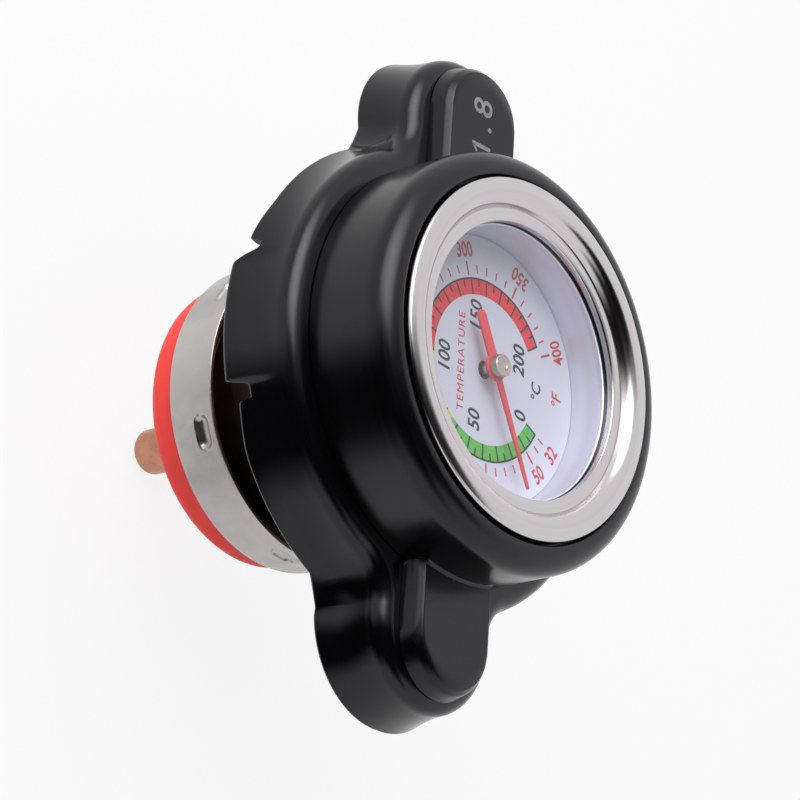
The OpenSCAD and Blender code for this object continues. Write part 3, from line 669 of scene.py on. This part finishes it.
housingLook = {
    "radius": 18.4, "bottom": 4.0, "top": 12.42, "rim": 2.1, "recess": 16.0, "recessFloor": 10.5,
    "bore": 13.4, "boreFloor": 6.0, "groove": 5.15, "grooveFloor": 4.7, "hole": 4.15, "lipEdge": 0.22,
    "tabEnd": 23.85, "tabFoot": 5.0, "tabMid": 4.64, "tabMidZ": 5.38, "tabTop": 4.2, "tabTopZ": 5.95,
    "crease": 0.05, "blend": 0.18, "root": 0.3, "rootLift": 0.06, "footGap": 0.14, "onTab": 0.5,
    "rowLift": 0.012, "under": (12.0, 17.6), "fineDeg": (10.5, 17.5), "fineStep": 0.12, "step": 0.9,
}


def tabReach(its, half, c, s):
    # distance from the axis to the tab's outline of this half width
    if s > 1e-9 and half * c / s <= its.tabEnd:
        return half / s
    room = half * half - (its.tabEnd * s) ** 2
    return its.tabEnd * c + math.sqrt(max(room, 0.0))


def housingColumn(its, angle):
    c, s = abs(math.cos(angle)), abs(math.sin(angle))
    house, crease, footZ, midZ, topZ = its.radius, its.crease, its.bottom, its.tabMidZ, its.tabTopZ

    def reach(half):
        return softMax(tabReach(its, half, c, s), house, its.blend)

    column = [(reach(its.tabFoot) - its.footGap, footZ), (reach(its.tabFoot), footZ + its.footGap)]
    sideLean = (its.tabFoot - its.tabMid) / (midZ - footZ)
    bevelLean = (its.tabMid - its.tabTop) / (topZ - midZ)
    for share in (0.35, 0.65, 1.0):
        z = mix(footZ + its.footGap, midZ - crease, share)
        column.append((reach(its.tabFoot - sideLean * (z - footZ)), z))
    for share in (0.0, 0.33, 0.67, 1.0):
        z = mix(midZ + crease, topZ - crease * 0.7, share)
        column.append((reach(its.tabMid - bevelLean * (z - midZ)), z))
    edge = reach(its.tabTop - crease * 0.5)
    root = min(its.root, edge - house)
    offTab = 1 - smooth(edge - house, 0.0, its.onTab)
    for k, share in enumerate((0.0, 0.15, 0.5, 0.85, 1.0)):
        column.append((mix(edge, house + root, share), topZ + offTab * its.rowLift * (k + 1)))
    rootZ = topZ + its.rootLift
    for a in (math.pi / 8 * k for k in range(1, 5)):
        column.append((house + root * (1 - math.sin(a)), rootZ + its.root * (1 - math.cos(a))))
    shoulderZ = its.top - its.rim
    for share in (0.1, 0.4, 0.7, 0.95):
        column.append((house, mix(rootZ + its.root, shoulderZ, share)))
    column += arc(house - its.rim, shoulderZ, its.rim, 0, 90, 12)
    column += arc(its.recess + its.lipEdge, its.top - its.lipEdge, its.lipEdge, 90, 180, 4)
    column += [(its.recess, its.recessFloor), (its.bore, its.recessFloor)]
    column += [(its.bore, its.boreFloor), (its.groove, its.boreFloor)]
    column += [(its.groove, its.grooveFloor), (its.hole, its.grooveFloor), (its.hole, footZ)]
    return column + [(r, footZ) for r in its.under]


def buildHousing(look):
    its = SimpleNamespace(**look)
    angles = []
    deg = 0.0
    while deg < 90:
        angles.append(deg)
        deg += its.fineStep if its.fineDeg[0] < deg < its.fineDeg[1] else its.step
    turn = angles + [180 - d for d in reversed(angles[1:])]
    turn += [180 + d for d in angles] + [360 - d for d in reversed(angles[1:])]
    rows = []
    for a in map(math.radians, turn):
        rows.append([polar(r, a, z) for r, z in housingColumn(its, a)])
    mesh = rowMesh("gaugeHousing", rows)
    addPiece("gaugeHousing", mesh, "cap", "housing_black", finish["housing"], "gauge_housing")


buildHousing(housingLook)
print("housing built")


# bezel: rolled bead outside, crease, satin lip inside

bezelLook = {
    "outer": 15.75, "inner": 12.05, "bottom": 11.0, "crest": 13.02, "crestR": 14.5, "edgeR": 0.3,
    "crownDeg": 20.0, "beadR": 1.3, "slopeDeg": 60.0, "sideHold": 0.1, "creaseR": 13.2, "creaseWide": 0.05,
    "creaseRise": 0.01, "lipFall": 0.07, "lipSwell": 0.05, "lipEdge": 0.16, "pocket": 12.75,
    "glassTop": 11.4,
}


def buildBezel(look):
    its = SimpleNamespace(**look)
    crown = math.radians(its.crownDeg)
    edgeMiddle = its.outer - its.edgeR
    crownR = (edgeMiddle - its.crestR) / math.sin(crown) + its.edgeR
    edgeZ = its.crest - (crownR - its.edgeR) * (1 - math.cos(crown)) - its.edgeR
    outline = [(its.outer, its.bottom), (its.outer, edgeZ - its.sideHold)]
    outline += arc(edgeMiddle, edgeZ, its.edgeR, 0, 90 - its.crownDeg, 8)
    outline += arc(its.crestR, its.crest - crownR, crownR, 90 - its.crownDeg, 90, 12)[1:]
    outline += arc(its.crestR, its.crest - its.beadR, its.beadR, 90, 90 + its.slopeDeg, 16)[1:]
    endR, endZ = outline[-1]
    creaseZ = endZ - (endR - its.creaseR) * math.tan(math.radians(its.slopeDeg))
    for share in (0.1, 0.5, 0.93, 1.0):
        outline.append((mix(endR, its.creaseR, share), mix(endZ, creaseZ, share)))
    lipStart, lipZ = its.creaseR - its.creaseWide, creaseZ + its.creaseRise
    lipEnd = its.inner + its.lipEdge
    for share in (0.0, 0.1, 0.45, 0.8, 1.0):
        swell = its.lipSwell * math.sin(math.pi * share)
        outline.append((mix(lipStart, lipEnd, share), lipZ - its.lipFall * share + swell))
    outline += arc(lipEnd, outline[-1][1] - its.lipEdge, its.lipEdge, 80, 180, 4)
    outline += [(its.inner, its.glassTop), (its.pocket, its.glassTop), (its.pocket, its.bottom)]
    addPiece("bezelRing", lathe("bezelRing", outline, 240), "cap", "bezel_steel", finish["bezel"], "bezel")


buildBezel(bezelLook)

lensLook = {
    "name": "gaugeGlass", "node": "lens", "slot": "lens_glass", "finish": "glass",
    "radius": 12.6, "bottom": 10.9, "top": 11.4, "edge": 0.1,
}
turnedPiece(lensLook, "axis bottom sharp, radius bottom edge, radius top edge, axis top sharp", 3, 192)

gasketLook = {
    "name": "glassGasket", "node": "lens_gasket", "slot": "black_rubber", "finish": "rubber",
    "inner": 12.03, "outer": 12.6, "bottom": 10.8, "top": 10.9, "edge": 0.03,
}
turnedPiece(gasketLook, ringSection, 3, 192)

caseLook = {
    "name": "gaugeCase", "node": "gauge_case", "slot": "case_bright", "finish": "case",
    "hole": 2.15, "floor": 6.1, "floorTop": 6.6, "wall": 12.4, "inside": 11.9, "foot": 0.5, "soft": 0.14,
    "shelf": 10.9, "shelfTop": 6.9, "ledge": 10.3, "ledgeTop": 10.8, "pocketIn": 12.75, "pocketOut": 13.25,
    "flange": 15.5, "under": 10.5, "top": 11.0,
}
turnedPiece(
    caseLook, "hole floor sharp, wall floor foot, wall ledge soft, pocketOut ledge soft, "
    "pocketOut under soft, flange under soft, flange top soft, pocketIn top soft, pocketIn ledgeTop soft, "
    "inside ledgeTop soft, inside shelfTop soft, shelf shelfTop soft, shelf floorTop soft, "
    "hole floorTop sharp", sides=192)
print("bezel, glass and case built")


# dial with its two scales

dialLook = {
    "name": "dialPlate", "node": "dial_plate", "slot": "dial_white", "finish": "dial",
    "inner": 0.8, "outer": 11.87, "bottom": 6.9, "top": 7.3, "edge": 0.03,
    "zeroDeg": 242.5, "degPerC": -1.5, "upright": 2.5, "sink": 0.03, "film": 0.012,
    "scaleEnd": 200, "bandIn": 6.6, "bandMid": 7.3, "bandOut": 8.0, "line": 0.17, "lineEnd": 0.5,
    "bands": [("bandGreen", 0, 65), ("bandYellow", 65, 100), ("bandRed", 100, 200)],
    # ticks from 0 out to the band's edge: count, step, inner radius, and 2 where every second is left out
    "celsiusTicks": [(21, 10, "bandIn", 0), (41, 5, "bandMid", 2)],
    # ticks: count, first, step, both radii, width, and 5 where every fifth is left out
    "fahrenheitTicks": [(8, 50, 50, 8.25, 9.5, 0.2, 0), (36, 50, 10, 8.5, 9.25, 0.15, 5),
                        (2, 32, 8, 8.5, 9.25, 0.15, 0)],
    # inner numbers: value, radius and degrees aside
    "innerNumbers": [(0, 5.6, 0), (50, 4.9, 0), (100, 5.3, 0), (150, 4.9, 0), (200, 5.0, -5)],
    "outerNumbers": [32, 50, 100, 150, 200, 250, 300, 350, 400], "outerRadius": 10.55,
    "innerLetters": {"height": 1.55, "lean": 0.15, "squeeze": 0.88, "bold": 0.018},
    "outerLetters": {"height": 1.4, "squeeze": 0.78, "bold": 0.02},
    "signLetters": {"height": 1.3, "lean": 0.15, "squeeze": 0.9, "bold": 0.012},
    "signDeg": 272, "celsiusRadius": 6.9, "fahrenheitRadius": 9.7,
    "word": "TEMPERATURE", "wordLetters": {"height": 0.84, "space": 1.15}, "wordSpot": (3.1, 92.5),
}


fahrenheitPerC = 1.8


def scaleAngle(look, celsius):
    return look["zeroDeg"] + look["degPerC"] * celsius


def fromFahrenheit(value):
    return (value - 32) / fahrenheitPerC


def sectorSolid(inner, outer, startDeg, endDeg, bottom, top, stepDeg=1.5):
    # thin closed piece of a ring
    steps = max(int(abs(endDeg - startDeg) / stepDeg), 1)
    plan = arc(0, 0, outer, startDeg, endDeg, steps) + arc(0, 0, inner, endDeg, startDeg, steps)
    shape = bmesh.new()
    rings = [[shape.verts.new(Vector((x, y, z)) * mm) for x, y in plan] for z in (bottom, top)]
    joinRings(shape, rings)
    for ring in rings:
        for k in range(steps):
            shape.faces.new((ring[k], ring[k + 1], ring[-2 - k], ring[-1 - k]))
    return meshFrom(shape, "sector")


def letterSolid(text, thick, height, lean=0.0, squeeze=1.0, bold=0.0, space=1.0):
    # words or numbers as a thin solid, centred, with the given capital height
    depth = 0.1
    curve = bpy.data.curves.new("letters", "FONT")
    curve.body = text
    curve.shear = lean
    curve.offset = bold
    curve.space_character = space
    curve.extrude = depth
    curve.resolution_u = 3
    holder = bpy.data.objects.new("letters", curve)
    scene.collection.objects.link(holder)
    mesh = plainMesh(holder)
    xs = [v.co.x for v in mesh.vertices]
    ys = [v.co.y for v in mesh.vertices]
    scale = height / (max(ys) - min(ys)) * mm
    centre = Vector(((max(xs) + min(xs)) / 2, (max(ys) + min(ys)) / 2, 0))
    mesh.transform(Matrix.Translation(-centre))
    mesh.transform(Matrix.Diagonal((scale * squeeze, scale, thick * mm / (2 * depth), 1)))
    return mesh


def dialSpot(radius, deg, turnDeg, z):
    spot = Vector(polar(radius, math.radians(deg), z)) * mm
    return Matrix.Translation(spot) @ Matrix.Rotation(math.radians(turnDeg), 4, "Z")


def tickRow(look, tree, count, firstC, stepC, inner, outer, width, leaveOut, lift, ink):
    mesh = growMesh(tree, {
        "Count": count, "First Angle": math.radians(scaleAngle(look, firstC)),
        "Step Angle": math.radians(look["degPerC"] * stepC), "Inner": inner * mm, "Outer": outer * mm,
        "Width": width * mm, "Base": (look["top"] - look["sink"]) * mm,
        "Height": (look["sink"] + lift) * mm, "Leave Out": leaveOut, "Material": finish[ink]})
    return mesh, Matrix.Identity(4)


def buildDial(look):
    its = SimpleNamespace(**look)
    turnedPiece(look, ringSection, 3, 192)
    base = its.top - its.sink
    thick = its.sink + its.film
    mid = its.top + (its.film - its.sink) / 2
    for ink, start, end in its.bands:
        band = sectorSolid(its.bandIn, its.bandOut, scaleAngle(look, start), scaleAngle(look, end),
                           base, its.top + its.film)
        addPiece("dial_" + ink, band, "cap", its.slot, finish[ink])
    ticks = tickTree()
    rise = its.film * 2
    border = sectorSolid(its.bandOut - its.line / 2, its.bandOut + its.line / 2,
                         scaleAngle(look, 0) + its.lineEnd, scaleAngle(look, its.scaleEnd) - its.lineEnd,
                         base, its.top + rise)
    black = [(border, Matrix.Identity(4))]
    for count, step, inner, leaveOut in its.celsiusTicks:
        black.append(tickRow(look, ticks, count, 0, step, look[inner], its.bandOut, its.line, leaveOut,
                             rise, "black"))
    for value, radius, aside in its.innerNumbers:
        letters = letterSolid(str(value), thick, **its.innerLetters)
        black.append((letters, dialSpot(radius, scaleAngle(look, value) + aside, its.upright, mid)))
    black.append((letterSolid("°C", thick, **its.signLetters),
                  dialSpot(its.celsiusRadius, its.signDeg, its.upright, mid)))
    addPiece("dialBlackPrint", joined("dialBlackPrint", black), "cap", its.slot, finish["black"])
    red = []
    for count, first, step, *sizes in its.fahrenheitTicks:
        red.append(tickRow(look, ticks, count, fromFahrenheit(first), step / fahrenheitPerC, *sizes,
                           its.film, "red"))
    for value in its.outerNumbers:
        deg = scaleAngle(look, fromFahrenheit(value))
        outward = math.sin(math.radians(deg - its.upright)) > -0.02
        letters = letterSolid(str(value), thick, **its.outerLetters)
        red.append((letters, dialSpot(its.outerRadius, deg, deg - 90 if outward else deg + 90, mid)))
    red.append((letterSolid("°F", thick, **its.signLetters),
                dialSpot(its.fahrenheitRadius, its.signDeg, its.upright, mid)))
    red.append((letterSolid(its.word, thick, **its.wordLetters), dialSpot(*its.wordSpot, its.upright, mid)))
    addPiece("dialRedPrint", joined("dialRedPrint", red), "cap", its.slot, finish["red"])


buildDial(dialLook)
print("dial printed")


# pointer and its hub

pointerLook = {
    "angle": 208.0, "bottom": 8.4, "top": 8.7, "edge": 0.05, "length": 10.8, "root": 0.65, "tip": 0.24,
    "tipFlat": 0.1, "tail": 5.1, "tailWidth": 1.05, "eye": 1.22,
}
hubLook = {
    "name": "pointerHub", "node": "pointer_hub", "body": "needle", "slot": "hub_nickel", "finish": "hub",
    "radius": 1.0, "bottom": 8.7, "top": 9.5, "foot": 0.05, "crown": 0.16,
    "dimple": 0.44, "dimpleEdge": 0.03, "dimpleIn": 0.38, "dimpleZ": 9.43, "dimpleSoft": 0.02,
}


def buildPointer(look):
    its = SimpleNamespace(**look)
    tailHalf = its.tailWidth / 2
    tipX = its.length - its.tipFlat
    plan = [(tipX, -its.tip / 2), (its.length, 0), (tipX, its.tip / 2)]
    startDeg = math.degrees(math.asin(its.root / 2 / its.eye))
    endDeg = 180 - math.degrees(math.asin(tailHalf / its.eye))
    plan += arc(0, 0, its.eye, startDeg, endDeg, 14)
    plan += arc(tailHalf - its.tail, 0, tailHalf, 90, 270, 12)
    plan += arc(0, 0, its.eye, 360 - endDeg, 360 - startDeg, 14)
    plate = plateMesh("pointerNeedle", plan, its.bottom, its.top, its.edge)
    plate.transform(Matrix.Rotation(math.radians(its.angle), 4, "Z"))
    addPiece("pointerNeedle", plate, "needle", "pointer_red", finish["pointer"], "pointer")


buildPointer(pointerLook)
turnedPiece(hubLook, "axis bottom sharp, radius bottom foot, radius top crown, dimple top dimpleEdge, "
                     "dimpleIn dimpleZ dimpleSoft, axis dimpleZ sharp", sides=96)
print("pointer built")


# drawn valve cup with pressed dimples, and its red seal

cupLook = {
    "outer": 13.8, "inner": 13.45, "rim": -11.55, "bottom": -17.0, "floor": -16.4, "corner": 1.0,
    "hole": 3.95, "dimples": 6, "firstDimple": 54.0, "dimpleZ": -13.1, "dimpleHalf": 0.75, "dimpleR": 0.8,
    "dimpleDeep": 0.5, "dimpleSoft": 0.25, "rimEdge": 0.12, "holeEdge": 0.1, "floorMid": 8.0,
    "wallStart": 0.3, "wallStep": 0.09, "wallRows": 38, "sides": 480,
}


def cupDent(its, deg, z):
    pitch = 360 / its.dimples
    aside = (deg - its.firstDimple + pitch / 2) % pitch - pitch / 2
    along = abs(math.radians(aside) * its.outer)
    gap = math.hypot(max(along - its.dimpleHalf, 0), z - its.dimpleZ) / its.dimpleR
    if gap >= 1:
        return 0.0
    return its.dimpleDeep * math.sqrt(1 - gap * gap) * smooth(1 - gap, 0, its.dimpleSoft)


def buildCup(look):
    its = SimpleNamespace(**look)
    e, h, bottom, floor = its.rimEdge, its.holeEdge, its.bottom, its.floor
    wallZ = [its.rim - its.wallStart - its.wallStep * k for k in range(its.wallRows)]
    outline = arc(its.outer - e, its.rim - e, e, 90, 0, 3) + [(its.outer, z) for z in wallZ]
    outline += arc(its.outer - its.corner, bottom + its.corner, its.corner, 0, -90, 8)
    outline += [(its.floorMid, bottom), (its.hole + h, bottom), (its.hole, bottom + h)]
    outline += [(its.hole, floor - h), (its.hole + h, floor), (its.floorMid, floor)]
    turn = its.corner - (its.outer - its.inner)
    outline += arc(its.inner - turn, floor + turn, turn, -90, 0, 5)
    outline += [(its.inner, z) for z in reversed(wallZ)]
    outline += arc(its.inner + e, its.rim - e, e, 180, 90, 3)
    rings = []
    for r, z in outline:
        ring = []
        for deg in (360 * i / its.sides for i in range(its.sides)):
            a = math.radians(deg)
            dent = cupDent(its, deg, z) if r > its.inner - 0.01 else 0
            ring.append(polar(r - dent, a, z))
        rings.append(ring)
    mesh = ringMesh("valveCup", rings)
    addPiece("valveCup", mesh, "pressure_valve", "cup_steel", finish["cup"], "valve_cup")


buildCup(cupLook)

sealLook = {
    "name": "plugSeal", "node": "lower_seal", "body": "pressure_valve", "slot": "seal_red",
    "finish": "seal", "outer": 12.85, "inner": 3.95, "top": -17.0, "bottom": -20.2, "hollow": 9.15,
    "hollowTop": -18.5, "round": 1.35, "shoulder": 0.35, "edge": 0.2, "hole": 0.1,
}
turnedPiece(sealLook, "inner top hole, inner hollowTop hole, hollow hollowTop edge, hollow bottom edge, "
                      "outer bottom round, outer top shoulder", 6, 192)

retainerLook = {
    "name": "sealRetainer", "node": "seal_retainer", "body": "pressure_valve", "slot": "cup_steel",
    "finish": "cup", "inner": 3.4, "outer": 9.0, "bottom": -19.0, "top": -18.5, "eyelet": 3.9, "rim": 5.0,
    "rimZ": -16.4, "eyeletTop": -15.9, "mouth": 0.3, "round": 0.18, "edge": 0.12, "root": 0.05,
}
turnedPiece(retainerLook, "inner bottom mouth, outer bottom round, outer top edge, eyelet top root, "
                          "eyelet rimZ root, rim rimZ edge, rim eyeletTop round, inner eyeletTop mouth")

vacuumLook = {
    "name": "vacuumDisc", "node": "vacuum_disc", "body": "vacuum_valve", "slot": "cup_steel",
    "finish": "cup", "bore": 2.4, "stem": 3.0, "disc": 5.6, "bottom": -20.1, "top": -19.5, "stemTop": -12.7,
    "mouth": 0.15, "round": 0.22, "edge": 0.12, "root": 0.03, "end": 0.1,
}
turnedPiece(vacuumLook, "bore bottom mouth, disc bottom round, disc top edge, stem top root, "
                        "stem stemTop edge, bore stemTop end", sides=120)

vacuumSealLook = {
    "name": "vacuumSeal", "node": "vacuum_seal", "body": "vacuum_valve", "slot": "black_rubber",
    "finish": "rubber", "inner": 3.05, "outer": 5.45, "bottom": -19.5, "top": -19.0,
    "root": 0.05, "edge": 0.08, "round": 0.14,
}
turnedPiece(vacuumSealLook, "inner bottom root, outer bottom edge, outer top round, inner top edge",
            sides=96)
print("valve built")


# probe, spring holder and gasket

probeLook = {
    "outer": 2.1, "bore": 1.7, "top": 1.8, "tip": -32.9, "tipRound": 0.9, "tipLift": 0.1, "crown": 0.12,
    "crownR": 1.2, "crownRows": (0, 0.4, 0.8), "roundFrom": -78, "tipHold": 3.0, "floor": -31.9,
    "floorSoft": 0.4, "edge": 0.1,
}


def buildProbe(look):
    its = SimpleNamespace(**look)
    outline = [(r, its.tip + its.crown * (r / its.crownR) ** 2) for r in its.crownRows]
    roundZ = its.tip + its.tipRound + its.tipLift
    outline += arc(its.outer - its.tipRound, roundZ, its.tipRound, its.roundFrom, 0, 9)
    outline += [(its.outer, its.tip + its.tipHold), (its.outer, its.top - its.edge)]
    outline += [(its.outer - its.edge, its.top), (its.bore, its.top), (its.bore, its.floor + its.floorSoft)]
    outline += [(its.bore - its.floorSoft, its.floor), (0, its.floor)]
    mesh = lathe("probeTube", outline, 96)
    addPiece("probeTube", mesh, "cap", "probe_copper", finish["copper"], "probe_tube")


buildProbe(probeLook)

# the holder's brass is darkened as painted shade for the gap between cup and shell
holderLook = {
    "name": "springHolder", "node": "spring_holder", "slot": "holder_brass", "finish": "holder",
    "hole": 4.15, "top": 2.6, "roof": 1.8, "outer": 10.9, "inner": 10.4, "flange": 12.8,
    "flangeTop": -14.353, "bottom": -14.853, "holeEdge": 0.08, "corner": 0.5, "bend": 0.35, "edge": 0.12,
    "crown": 0.9,
}
turnedPiece(
    holderLook, "hole top holeEdge, hole roof holeEdge, inner roof corner, inner bottom bend, "
    "flange bottom edge, flange flangeTop edge, outer flangeTop edge, outer top crown", 5)

# its red is darkened as painted shade for the gap under the shell
neckGasketLook = {
    "name": "neckGasket", "node": "upper_gasket", "slot": "gasket_red", "finish": "gasket",
    "inner": 11.05, "outer": 17.0, "bottom": 0.0, "top": 2.6, "edge": 0.3, "back": 0.1,
}
turnedPiece(neckGasketLook, "inner bottom edge, outer bottom edge, outer top back, inner top back")
print("probe, holder and gasket built")


# wound springs

springLook = {
    "pressureSpring": {
        "node": "pressure_spring", "body": "cap", "radius": 9.2, "wire": 0.8, "bottom": -15.5, "top": 0.9,
        "turns": 5, "flat": 0.45, "joint": "pressure_lift", "anchor": 1.7, "keep": 0.92},
    "vacuumSpring": {
        "node": "vacuum_spring", "body": "pressure_valve", "radius": 3.7, "wire": 0.22, "bottom": -15.62,
        "top": -13.5, "turns": 2.5, "flat": 0.25, "joint": "vacuum_drop", "anchor": -15.84, "keep": 0.58},
    "bimetalCoil": {
        "node": "bimetal_coil", "body": "cap", "radius": 1.15, "wire": 0.2, "bottom": -29.7, "top": -8.3,
        "turns": 10, "flat": 0.0},
}


def buildSpring(name, look, tree, ringsPerTurn=48, sides=14):
    mesh = growMesh(tree, {
        "Turns": look["turns"], "Flat Turns": look["flat"], "Radius": look["radius"] * mm,
        "Wire Radius": look["wire"] * mm, "Bottom": look["bottom"] * mm, "Top": look["top"] * mm,
        "Rings": int(look["turns"] * ringsPerTurn), "Sides": sides, "Material": finish["wire"]})
    mesh = joined(name, [(mesh, Matrix.Identity(4))])
    spring = addPiece(name, mesh, look["body"], "spring_steel", finish["wire"], look["node"])
    if "joint" in look:
        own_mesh(spring)


wire = wireTree()
for springName, look in springLook.items():
    buildSpring(springName, look, wire)
print("springs wound")


# inner pieces keep their solids and take a worked finish

innerFinish = {
    # the spindle bush takes the holder's darkened brass: painted shade for the dark hole under the hub
    "spindle": "wire", "spindle_bush": "holder", "coil_anchor": "brass", "stem_bush": "brass",
    "stem_o_ring": "rubber", "stem_nut": "zinc", "nut_washer": "zinc", "diaphragm": "wire",
    "vacuum_clip": "zinc",
}
for node, key in innerFinish.items():
    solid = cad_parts[node]
    solid.data.materials.clear()
    solid.data.materials.append(finish[key])
print("inner pieces finished")


# plain number on the tab

tabNumber = {
    "text": "1.8", "letters": {"height": 2.5, "bold": 0.008, "space": 1.35}, "x": 23.3, "y": 0.2,
    "film": 0.012, "sink": 0.03,
    # the first digit's slanted stroke, measured from that digit's outer side
    "stroke": [(0.15, 1.27), (-0.7, 0.5), (-0.56, 0.3), (0.1, 0.86)], "strokeEdge": 0.003,
}


def buildNumber(look):
    its = SimpleNamespace(**look)
    thick = its.film + its.sink
    digits = letterSolid(its.text, thick, **its.letters)
    start = min(v.co.x for v in digits.vertices) / mm
    plan = [(start + x, y) for x, y in its.stroke]
    stroke = plateMesh("stroke", plan, -thick / 2, thick / 2, its.strokeEdge)
    z = housingLook["tabTopZ"] + (its.film - its.sink) / 2
    place = Matrix.Translation(Vector((its.x, its.y, z)) * mm)
    mesh = joined("tabNumber", [(digits, place), (stroke, place)])
    addPiece("tabNumber", mesh, "cap", "housing_black", finish["grey"])


buildNumber(tabNumber)


# floor, light and a black arch

studioLook = {
    "floorZ": -33.0, "floorHalf": 4000.0, "floorGrey": 0.9, "shadowShare": 0.14, "worldLight": 0.46,
    "keyPower": 2.8, "keyGlow": 36.0, "keySize": 640.0, "keyAway": 560.0, "keyFrom": (0.54, 0.49, 0.684),
}


def seenShare(tree):
    # 1 for what the camera, mirrors and glass look at, 0 for light falling on the object
    path = addNode(tree, "ShaderNodeLightPath").outputs
    seen = calc(tree, "MAXIMUM", path["Is Camera Ray"], path["Is Glossy Ray"])
    seen = calc(tree, "MAXIMUM", seen, path["Is Transmission Ray"])
    return times(tree, seen, calc(tree, "LESS_THAN", path["Diffuse Depth"], 0.5))


def stageMesh(name, shape, material, unseenBy=()):
    mesh = bpy.data.meshes.new(name)
    shape.to_mesh(mesh)
    shape.free()
    mesh.materials.append(material)
    thing = bpy.data.objects.new(name, mesh)
    scene.collection.objects.link(thing)
    for ray in unseenBy:
        setattr(thing, "visible_" + ray, False)


def buildFloor(look):
    half = look["floorHalf"]
    shape = bmesh.new()
    corners = [(-half, -half), (half, -half), (half, half), (-half, half)]
    shape.faces.new([shape.verts.new(Vector((x, y, look["floorZ"])) * mm) for x, y in corners])
    material = bpy.data.materials.new("paleFloor")
    material.use_nodes = True
    tree = material.node_tree
    tree.nodes.clear()
    plain = addNode(tree, "ShaderNodeBsdfDiffuse", {"Color": (*[look["floorGrey"]] * 3, 1)})
    glow = addNode(tree, "ShaderNodeEmission", {"Color": (1, 1, 1, 1), "Strength": 1.0})
    share = times(tree, seenShare(tree), 1 - look["shadowShare"])
    both = addNode(tree, "ShaderNodeMixShader", {0: share, 1: plain.outputs[0], 2: glow.outputs[0]})
    addNode(tree, "ShaderNodeOutputMaterial", {"Surface": both.outputs[0]})
    stageMesh("floor", shape, material)


def buildWorld(look):
    world = bpy.data.worlds.new("studio")
    scene.world = world
    world.use_nodes = True
    tree = world.node_tree
    back = tree.nodes["Background"]
    back.inputs["Color"].default_value = (1, 1, 1, 1)
    strength = ranged(tree, seenShare(tree), look["worldLight"], 1.0, 0.0, 1.0)
    tree.links.new(strength, back.inputs["Strength"])


def buildKey(look):
    data = bpy.data.lights.new("softbox", "AREA")
    data.energy = look["keyPower"]
    data.size = look["keySize"] * mm
    data.use_nodes = True
    tree = data.node_tree
    spot = addNode(tree, "ShaderNodeNewGeometry").outputs["Parametric"]
    glow = look["keyGlow"]
    for share in addNode(tree, "ShaderNodeSeparateXYZ", {0: spot}).outputs[:2]:
        glow = times(tree, glow, humped(tree, share))
    tree.links.new(glow, tree.nodes["Emission"].inputs["Strength"])
    lamp = bpy.data.objects.new("softbox", data)
    scene.collection.objects.link(lamp)
    away = Vector(look["keyFrom"]).normalized()
    lamp.matrix_world = Matrix.LocRotScale(
        away * look["keyAway"] * mm, away.to_track_quat("Z", "Y").to_matrix(), None)


# black arch over the side of the lens: its two edges from the floor up and over, as (x, y, z)
archLook = {
    "spread": 0.25, "steps": 16, "colour": (0.002, 0.002, 0.002), "solid": 0.2,
    "edges": [
        ((-3.6, 51.9, -32.4), (-38.6, 34.8, -32.4)),
        ((-21, 299, -32.4), (-223, 201, -32.4)),
        ((-16, 320, 60), (-240, 212, 60)),
        ((20, 380, 190), (-330, 200, 190)),
        ((70, 394, 300), (-420, 0, 300)),
        ((85, 300, 540), (-350, 0, 540)),
        ((76, 60, 541), (-280, -80, 541)),
        ((140, -162, 542), (-225, -190, 542)),
        ((90, -360, 543), (-190, -350, 543)),
    ],
}


def buildArch(look):
    # only mirrors see it, and it fades out toward both edges
    steps, spread = look["steps"], look["spread"]
    shape = bmesh.new()
    across = shape.verts.layers.float.new("across")
    rows = []
    for first, last in look["edges"]:
        row = []
        for share in (k / steps for k in range(steps + 1)):
            spot = Vector(first).lerp(Vector(last), mix(-spread, 1 + spread, share))
            row.append(shape.verts.new(spot * mm))
            row[-1][across] = share
        rows.append(row)
    for row, after in zip(rows, rows[1:]):
        for k in range(steps):
            shape.faces.new((row[k], row[k + 1], after[k + 1], after[k]))
    material, tree, shader = startFinish("blackFlag", look["colour"], 0.0, 1.0, 0.0)
    share = addNode(tree, "ShaderNodeAttribute", attribute_name="across").outputs["Fac"]
    tree.links.new(ranged(tree, humped(tree, share), 0.0, 1.0, 0.0, look["solid"]), shader.inputs["Alpha"])
    stageMesh("blackArch", shape, material, ("camera", "diffuse", "shadow", "transmission"))


buildFloor(studioLook)
buildWorld(studioLook)
buildKey(studioLook)
buildArch(archLook)
print("studio set")
